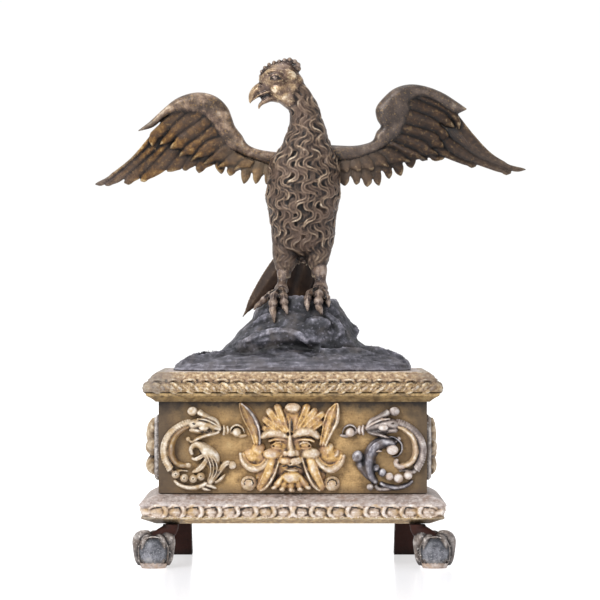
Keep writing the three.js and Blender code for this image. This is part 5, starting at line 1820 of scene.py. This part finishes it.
    def beads(self) -> None:
        """Carves the string of beads; those of the left side have a drilled middle."""
        if self.side == "right":
            for x, z, radius, finish in ((-114.6, 154, 4.6, self.LEAVES), (-118.7, 144.4, 6, self.LEAVES),
                                         (-128.4, 137.5, 6.2, self.LEAVES), (-139, 131.8, 5.8, self.BEADS),
                                         (-152, 129.4, 7, self.BEADS), (-166, 133.4, 6.4, self.BEADS)):
                self.knob(x, 4.4, z, radius, (1, 0.95, 1), finish, 14)
            return
        for x, z in ((-170.6, 135), (-158.2, 129.4), (-145, 128.6), (-134, 132)):
            self.knob(x, 3.8, z, 6.2, (1, 0.95, 1), self.BEADS, 12)
            ring = [(x + 2.4 * math.cos(a), GROUND - 8.8, z + 2.4 * math.sin(a)) for a in np.linspace(0, TAU, 6)]
            self.sweep(
                Curve(ring), swell(0.9, 0.9, 0.9), swell(1.5, 1.5, 1.5), Section.MOUND, 16, 8, finish=self.BEADS)
            # A small dark knob of painted shade stands for the drilled hole
            self.knob(x, 9.4, z, 1.0, (1, 0.8, 1), self.HOLLOWS, 6)

    def build(self) -> None:
        """Builds the scroll on its side of the board."""
        self.head()
        self.mane()
        self.acanthus()
        self.beads()
        if self.side == "right":
            self.mirror(self.mirror_plane)
        slot = "worn_gesso" if self.side == "left" else "worn_silver"
        self.lay(f"beast_scroll_{self.side}", slot, f"scroll_{self.side}", self.finishes, 22, 2)


LEFT_SCROLL = Scroll("left", (CREAM_GOLD, MASK_GOLD, CREAM_GOLD, CREAM_GOLD, PAINTED_SHADE, CREAM_GOLD))
RIGHT_SCROLL = Scroll("right", (PINK_GESSO, MASK_CREAM, TARNISHED, PALE_GESSO, PAINTED_SHADE, PALE_GESSO))


@dataclass
class Mask(Ornament):
    """A grotesque leaf mask: brows, cheeks, ears and beard are all leaves.

    Its finishes are, in order: gold, pale, dark painted shade, pinkish grey.
    """

    voxel: float = 0.9
    budget: int = 104_000

    GOLD, PALE, DARK, GREY = range(4)

    def crown(self) -> None:
        """Carves the leaves that rise from the brow: two fans and the shell between them."""
        gold, pale = self.GOLD, self.PALE
        self.petal(((-5, 192, 8), (-17, 205, 16), (-30, 216, 15)), (13, 12, 6), gold)
        self.petal(((4, 194, 8), (19, 208, 16), (33, 217, 14)), (14, 14.5, 8), gold)
        for stations in (
                ((-7, 194, 4.5), (-16, 216, 7.4), (-24.2, 237, 6.6)), ((-9, 195, 5), (-24, 213, 8), (-37, 230.5, 6.8)),
                ((-10, 194, 5), (-29, 206, 7.4), (-44, 217.5, 6)), ((-10, 191, 4.5), (-29, 198, 6.4), (-45, 203, 5)),
                ((5, 198, 4.5), (14, 217, 7), (22.5, 237, 7)), ((8, 199, 5), (21, 214, 8), (34.5, 230.5, 6.2)),
                ((10, 197, 5), (27, 210, 8.4), (45.5, 225, 5)), ((11, 194, 5), (28, 202.5, 6.6), (45, 212.5, 4.6))):
            self.petal(stations, (16.5, 14.5, 9.5), gold, 2)
        self.petal(((-4, 192, 4), (-6, 208, 6.4), (-8, 226, 7.5)), (16, 13.5, 9), gold)
        self.petal(((1, 192, 4), (4, 208, 6.4), (8, 226, 7.5)), (16, 13.5, 9), gold)
        self.knob(0, 5, 231.6, 8.2, (1.45, 0.95, 0.94), pale, 16)
        self.petal(((-4, 214, 0.8), (-4.2, 203, 1.4), (-4, 191, 1)), (14, 18, 18), pale)
        # Two dark strands are painted shade of the crease down the brow
        for x in (-7.2, -1.2):
            self.petal(((x - 0.6, 216, 0.5), (x, 206, 0.9), (x + 0.4, 196, 0.6)), (12, 14.6, 16.6), self.DARK)

    def brows(self) -> None:
        """Carves the furrowed brows, the eyes under them and the cheekbones."""
        gold, pale = self.GOLD, self.PALE
        self.petal(
            ((-5, 188, 3.5), (-15, 193, 7), (-27, 195.5, 8.4), (-39, 193.5, 6.8), (-47, 187, 3)), (16, 18.5, 11), pale)
        self.petal(
            ((-1, 189, 3.5), (8, 195.5, 8.4), (18, 198.5, 10), (30, 195, 8), (39.5, 187, 3.6)), (16, 19.5, 11), pale)
        for middle in (-21.5, 17.2):
            self.petal(((middle - 15, 183, 2), (middle - 4, 186, 3.6), (middle + 8, 185.4, 3.4),
                        (middle + 15, 182, 2)), (11, 16, 11), gold)
            self.knob(middle, 11.4, 177.4, 4.4, (1.35, 0.84, 0.76), gold, 14)
            self.petal(((middle - 10, 176.4, 1), (middle - 4, 181.2, 2), (middle + 4, 181.4, 2),
                        (middle + 10, 176.6, 1)), (11, 16.4, 11), pale if middle > 0 else gold)
            self.petal(((middle - 10, 175.8, 1), (middle - 3, 172.8, 1.7), (middle + 4, 172.8, 1.7),
                        (middle + 10, 176, 1)), (10, 15, 10), gold)
        for x, z in ((-29, 164.5), (25, 165)):
            self.knob(x, 6.4, z, 11, (1.32, 0.86, 0.84), pale if x > 0 else gold, 16)

    def face(self) -> None:
        """Carves the face with its nose, mouth and chin."""
        gold, pale, dark = self.GOLD, self.PALE, self.DARK
        egg = lambda t, a: Vector((-3.5 + 31 * math.sin(math.pi * t) * math.cos(a),
                                   GROUND - max(0.0, 14 * math.sin(math.pi * t) * math.sin(a)),
                                   166 - 44 * math.cos(math.pi * t)))
        self.wrap(egg, 32, 24, gold)
        for x, z, radius, squash in ((0, 209, 30, (1.3, 0.36, 0.86)), (-37, 137, 22, (0.8, 0.4, 1.0)),
                                     (31, 137, 22, (0.8, 0.4, 1.0)), (-3, 124, 20, (1.25, 0.5, 0.6)),
                                     (-52, 160, 19, (1.1, 0.36, 0.8)), (50, 160, 19, (1.1, 0.36, 0.8))):
            self.knob(x, 0, z, radius, squash, gold, 24)
        self.petal(((-4.4, 195, 4), (-4.4, 185, 5.2), (-3.4, 175, 6.6), (-2.4, 163.5, 8.6)), (16, 21, 23.5), pale)
        self.knob(-2.4, 18.4, 166.6, 5.6, (1.15, 0.95, 0.9), pale, 14)
        for side, x in ((-1, -9.6), (1, 4.8)):
            self.knob(x, 14.5, 166, 4.8, (1, 1, 0.9), pale, 12)
            # A small dark knob of painted shade stands for each nostril
            self.knob(x + 2.6 * -side, 18.6, 162, 1.5, (1.2, 1, 0.7), dark, 8)
            self.knob(-3.4 + side * 7.4, 12.8, 155.2, 7.4, (1.3, 0.85, 0.78), pale if side > 0 else gold, 14)
            self.petal(((-4 + side * 10, 164, 2), (-4 + side * 17, 156, 3.4), (-4 + side * 19.5, 145, 2.4)),
                       (14, 14, 9), gold)
        self.petal(((-17.6, 148.4, 1.4), (-10, 151.2, 2.6), (-3.8, 149.4, 2.2), (3, 150.6, 2.6), (12.4, 146.6, 1.4)),
                   (11, 17, 11), pale)
        # The mouth line is a dark strand of painted shade
        self.petal(((-18, 146.6, 0.8), (-8, 147.4, 1.3), (-2, 146.2, 1.6), (4, 146.6, 1.3), (13, 143.4, 0.8)),
                   (11, 15.4, 11), dark)
        self.petal(((-13, 142.6, 1.6), (-3.2, 141, 3.4), (9, 141, 1.6)), (11, 17, 11), pale)
        self.knob(-1.8, 8.5, 131.4, 11.5, (1.25, 0.95, 0.84), gold, 18)

    def ears(self) -> None:
        """Carves the two tall ear leaves: the left one is folded over and grey along its right edge."""
        gold = self.GOLD
        left = ((-51.5, 178, 5), (-54.5, 196, 9), (-61.5, 213, 11.6), (-69, 228, 9), (-76.6, 239.6, 1.6))
        right = ((43.4, 176, 5), (49.2, 193.9, 8), (55.4, 211.7, 11.4), (59.4, 226.3, 9.2), (64.6, 239.4, 1.6))
        for stations, finish in ((left, self.GREY), (right, self.PALE)):
            self.petal(stations, (11, 9, 5), gold)
            self.petal(
                [(x + 0.7 * half, z - 0.1 * half, 0.26 * half + 0.7) for x, z, half in stations], (12, 12, 7), finish)
            self.petal(
                [(x - 0.84 * half, z + 0.1 * half, 0.1 * half + 0.7) for x, z, half in stations], (10, 9, 6), gold)
            self.petal([(x - 0.1 * half, z, 0.1 * half + 0.5) for x, z, half in stations], (12, 10, 6), gold)

    def foliage(self) -> None:
        """Carves the jaw leaves, the cheek cups, the volutes and the beard."""
        gold, pale, dark = self.GOLD, self.PALE, self.DARK
        for jaw, edge, groove in (
                (((-24, 170, 6), (-30.5, 155, 10.5), (-36, 138, 11.4), (-43, 123, 9.6), (-50.5, 110.8, 5)),
                 ((-17, 162, 1.8), (-22, 149, 2.6), (-26, 137, 2.8), (-32.6, 124.6, 3), (-41, 114.5, 2.6),
                  (-48.5, 110.4, 1.4)),
                 ((-33, 160, 0.8), (-40, 142, 1.2), (-47, 126, 1.2), (-52.5, 115, 0.8))),
                (((19.5, 170, 6), (26, 155, 10.5), (31.5, 139, 11.4), (37.5, 124, 9.4), (43, 110.8, 4.8)),
                 ((12.6, 162, 1.8), (16.4, 149, 2.6), (20.6, 137, 2.8), (26.6, 124.6, 3.2), (34, 114.8, 2.8),
                  (40.5, 110.4, 1.4)),
                 ((29, 160, 0.8), (36, 143, 1.2), (42, 128, 1.2), (46.4, 116, 0.8)))):
            self.petal(jaw, (13, 12.5, 6.5), gold)
            self.petal(edge, (13.5, 15, 8), pale)
            self.petal(groove, (11, 12.4, 6.4), gold)
        for side, rim in (
                (-1, ((-77, 167, 2.4), (-73.6, 155.4, 4.2), (-66.4, 146.6, 5.4), (-56, 142.8, 6), (-46, 144.4, 5.6),
                      (-38.4, 151.4, 5), (-34, 161, 3.6))),
                (1, ((75.6, 164, 2.4), (71, 152.6, 4.2), (63.6, 145, 5.4), (54.5, 142, 6), (45, 145, 5.6),
                     (37, 152.6, 5), (31.6, 162, 3.6)))):
            self.knob(side * 55.5, -1, 159.5, 19, (1.06, 0.42, 0.76), gold, 20)
            self.knob(side * 50, 0, 171, 12, (0.9, 0.7, 1.0), gold, 16)
            self.petal(rim, (8.5, 12.5, 11.5), pale)
            self.petal([(0.8 * x + side * 11, 0.8 * z + 33.6, 0.62 * half) for x, z, half in rim], (6, 9.6, 9), gold)
        self.petal(((60, 160, 2), (65, 165, 3), (65.6, 171, 1.4)), (8, 9, 6), pale)
        for x, z in ((-64.2, 121.8), (57.3, 121.2)):
            self.knob(x, 1, z, 11.4, (1, 0.74, 1), pale, 18)
            turn = [(x + 6.4 * math.cos(a), z + 6.4 * math.sin(a)) for a in np.linspace(-0.6, 3.6, 7)]
            # A dark ring of painted shade curls round the eye of each volute
            self.petal([(*spot, 0.9) for spot in turn], (9, 10, 9), dark)
            self.knob(x + 0.6, 6.6, z - 1.6, 4.6, (1, 0.9, 1), pale, 12)
        for root, x, z, half in ((-12, -28, 115.6, 6.6), (-7.5, -15.5, 112.8, 7.6), (-2, -2, 111.6, 8),
                                 (3.5, 11, 112.8, 7.6), (8, 23, 115.4, 6.6)):
            self.petal(((root, 136, 0.6 * half), (0.5 * (root + x), 124, 0.95 * half), (x, z, 0.96 * half)),
                       (14, 13, 9), gold)
            self.petal(((0.4 * root + 0.6 * x, 118, 0.5 * half), (x, z, 0.7 * half), (1.06 * x, z - 3.4, 0.4 * half)),
                       (10, 12, 8), pale)

    def build(self) -> None:
        """Builds the mask."""
        self.crown()
        self.face()
        self.brows()
        self.ears()
        self.foliage()
        self.lay("leaf_mask", "worn_gilt", "mask", (MASK_GOLD, MASK_CREAM, PAINTED_SHADE, PINK_GESSO), 24, 4)


@dataclass
class Plaque(Shells):
    """A carved plaque on an end of the case: a bevelled board with palmettes."""

    side: Side
    rise: float
    half_length: float = 88.0
    bottom: float = 124.0
    top: float = 219.0
    middle: float = 160.0
    leaves: tuple = ((0, 213), (38, 203), (-38, 203), (74, 176), (-74, 176), (54, 136), (-54, 136), (0, 130))
    voxel: float = 1.2
    budget: int = 28_000

    def build(self) -> None:
        """Builds the plaque."""
        at = self.side.at
        board = lambda low, high, inset: self.box(
            Vector(map(min, at(-self.half_length + inset, low, self.bottom + inset),
                       at(self.half_length - inset, high, self.top - inset))),
            Vector(map(max, at(-self.half_length + inset, low, self.bottom + inset),
                       at(self.half_length - inset, high, self.top - inset))), 1)
        board(0.4, 5, 0)
        board(1, 6.6, 1.6)
        board(2, 8, 3.2)
        for y, z in self.leaves:
            reach = math.hypot(y, z - self.middle)
            line = Curve([at(6 * y / reach, 6, self.middle + 6 * (z - self.middle) / reach),
                          at(0.6 * y, 6.5, self.middle + 0.66 * (z - self.middle)), at(y, 6.5, z)])
            width = lobed(swell(5, 14, 7), 2.5, 0.16)
            self.sweep(line, width, swell(9, self.rise - 1, 8), Section.MOUND, 28, 20, self.side.outward, 0)
        self.ball(at(0, 9, self.middle), 11, (1, 1, 1), 0, 12)
        piece = self.carve(f"palmette_plaque_{self.side.value}", (PLAQUE_GOLD, TOE_SILVER), 18)
        inside = (CASE_HALF_WIDTH + 0.3) * METRE
        middle = PLINTH_IN_ROW.x * METRE
        for vert in piece.data.vertices:
            vert.co.x = (min(vert.co.x, middle - inside) if self.side is Side.LEFT else
                         max(vert.co.x, middle + inside))
        install(piece, "worn_gilt", f"plaque_{self.side.value}")


@dataclass
class ClawFoot(Shells):
    """A front foot: claws close round a ball, with a neck that leans in under the plinth."""

    side: str
    middle_x: float = -202.0
    middle_y: float = -147.0
    pair_middle: float = 2.0
    radius: float = 26.0
    voxel: float = 1.0
    budget: int = 22_000

    def build(self) -> None:
        """Builds the foot."""
        x, y = self.middle_x, self.middle_y
        self.ball((x, y + 1.5, 25.5), self.radius - 1.5, (1, 0.98, 1), 1, 16)
        self.wrap(lambda t, a: Vector((x + (20.5 - 2.5 * (1 - t)) * math.cos(a),
                                       y + (20.5 - 2.5 * (1 - t)) * math.sin(a), 7 * t)), 32, 4, 2)
        self.ball((x, y - 11.5, 24), 20.6, (1, 0.62, 1.04), 1, 20)
        arch = ((-19, 6), (-21.6, 20), (-20.4, 33), (-13, 42.8), (0, 46), (13, 42.8), (20.4, 33), (21.6, 20), (19, 6))
        self.sweep(Curve([(x + dx, y - 19 + 0.012 * dx * dx, z) for dx, z in arch]), swell(1.1, 1.5, 1.1),
                   swell(1.0, 1.2, 1.0), Section.MOUND, 40, 10, finish=0)
        for degrees, out, size in ((180, 18, 10.5), (0, 18, 10.5), (228, 17, 5), (312, 17, 5), (90, 18, 9)):
            angle = math.radians(degrees)
            reach = lambda far, z, radius: (x + far * math.cos(angle), y + far * math.sin(angle), z, radius)
            self.limb([reach(4, 46, 0.8 * size), reach(out, 42, size), reach(out + 4, 29, 0.92 * size),
                       reach(out + 3, 16, 0.8 * size), reach(out - 1, 5, 0.5 * size)], 18, 20, knuckles=1.2, finish=0)
        self.limb([(x + 2, y, 38, 14), (x + 13, y + 2, 47, 12), (x + 23, y + 6, 55, 11.6), (x + 25, y + 8, 70, 12)],
                  20, 14, finish=3)
        if self.side == "right":
            self.mirror(self.pair_middle)
        piece = self.carve(f"claw_and_ball_{self.side}", (TOE_SILVER, BALL_SILVER, PALE_GESSO, DARK_WOOD), 20, 2)
        for vert in piece.data.vertices:
            vert.co.z = min(max(vert.co.z, 0.0), (BASE_BOTTOM - 0.3) * METRE)
        install(piece, "worn_silver", f"claw_foot_{self.side}")


@dataclass
class Case:
    """The boards that stay as they are in the solid model, with their own finishes."""

    finishes: dict = field(default_factory=lambda: {
        "case_front": OCHRE_BOLE, "case_left": OCHRE_BOLE, "case_right": OCHRE_BOLE, "case_back": DARK_WOOD,
        "base_back": DARK_WOOD, "rear_foot_left": DARK_WOOD, "rear_foot_right": DARK_WOOD,
        "cavetto_front": COVE_GILDING, "cavetto_left": COVE_GILDING, "cavetto_right": COVE_GILDING})

    def build(self) -> None:
        """Dresses the boards."""
        for name, finish in self.finishes.items():
            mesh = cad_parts[name].data
            mesh.materials.clear()
            mesh.materials.append(coat(finish))
            log.info("%s: %s", name, finish.name)


@dataclass
class Studio:
    """A pale sweep, soft lights and the camera."""

    camera_place: tuple[float, float, float] = (-0.016, -4.6785, 0.389)
    lens: float = 188.0
    target: tuple[float, float, float] = (0, 0, 0.4)
    backdrop_start: float = 1.6

    def floor(self) -> None:
        """Lays a satin floor that runs on, far behind the object, into a bright backdrop."""
        shell = bmesh.new()
        profile = [(-9.0, 0.0), (self.backdrop_start, 0.0), (5.6, 0.0)]
        profile += [(5.6 + 2.4 * math.sin(a), 2.4 - 2.4 * math.cos(a)) for a in np.linspace(0.1, math.pi / 2, 12)]
        profile += [(8.0, 13.0)]
        verts = [shell.verts.new((-14.0, y, z)) for y, z in profile]
        edges = [shell.edges.new(pair) for pair in zip(verts, verts[1:])]
        swept = bmesh.ops.extrude_edge_only(shell, edges=edges)["geom"]
        bmesh.ops.translate(shell, vec=(28.0, 0, 0), verts=[v for v in swept if isinstance(v, bmesh.types.BMVert)])
        bmesh.ops.recalc_face_normals(shell, faces=shell.faces)
        for face in shell.faces:
            face.material_index = int(face.calc_center_median().y > self.backdrop_start)
        mesh = bpy.data.meshes.new("pale_sweep")
        shell.to_mesh(mesh)
        shell.free()
        mesh.shade_smooth()
        for name, colour, glow in (("pale satin floor", "#b9b9be", 0.62), ("bright backdrop", "#000000", 1.0)):
            paper = bpy.data.materials.new(name)
            paper.use_nodes = True
            shader = paper.node_tree.nodes["Principled BSDF"]
            shader.inputs["Base Color"].default_value = linear(colour)
            shader.inputs["Roughness"].default_value = 0.18
            shader.inputs["Emission Color"].default_value = linear("#ffffff")
            shader.inputs["Emission Strength"].default_value = glow
            mesh.materials.append(paper)
        placed("pale_sweep", mesh)

    def lamp(self, name: str, place: Sequence[float], size: float, power: float) -> None:
        """Hangs a soft white light that looks at the bird.

        Args:
            name: its name.
            place: where it hangs.
            size: its width.
            power: its power in watts.
        """
        light = bpy.data.lights.new(name, "AREA")
        light.size = size
        light.energy = power
        lamp = placed(name, light)
        lamp.location = place
        lamp.rotation_euler = (Vector(self.target) - Vector(place)).to_track_quat("-Z", "Y").to_euler()

    def build(self) -> None:
        """Sets up floor, lights and camera."""
        scene = bpy.context.scene
        self.floor()
        self.lamp("key", (-1.7, -2.4, 2.2), 1.1, 82)
        self.lamp("fill", (2.4, -2.4, 1.2), 2.2, 14)
        self.lamp("top", (-0.2, 0.2, 2.8), 2.0, 26)
        world = bpy.data.worlds.new("bright room")
        world.use_nodes = True
        world.node_tree.nodes.clear()
        sky = add_node(world, "ShaderNodeBackground", {"Color": linear("#f6f8ff"), "Strength": 0.4})
        add_node(world, "ShaderNodeOutputWorld", {"Surface": sky.outputs[0]})
        scene.world = world
        scene.view_settings.view_transform = "Standard"
        camera = bpy.data.cameras.new("camera")
        camera.lens = self.lens
        camera.sensor_width = 36
        holder = placed("camera", camera)
        holder.location = self.camera_place
        holder.rotation_euler = (math.pi / 2, 0, 0)
        scene.camera = holder


def main() -> None:
    """Builds every part of the statue in order."""
    logging.basicConfig(level=logging.INFO, format="%(name)s %(message)s", stream=sys.stdout)
    Studio().build()
    for part in (EagleBody(), LEFT_WING, RIGHT_WING, Tail(), Rock(), TopBoard(), *map(BaseMember, Side),
                 Mask(), LEFT_SCROLL, RIGHT_SCROLL, Plaque(Side.LEFT, 18), Plaque(Side.RIGHT, 13),
                 ClawFoot("left"), ClawFoot("right"), Case()):
        part.build()


if __name__ == "__main__":
    main()
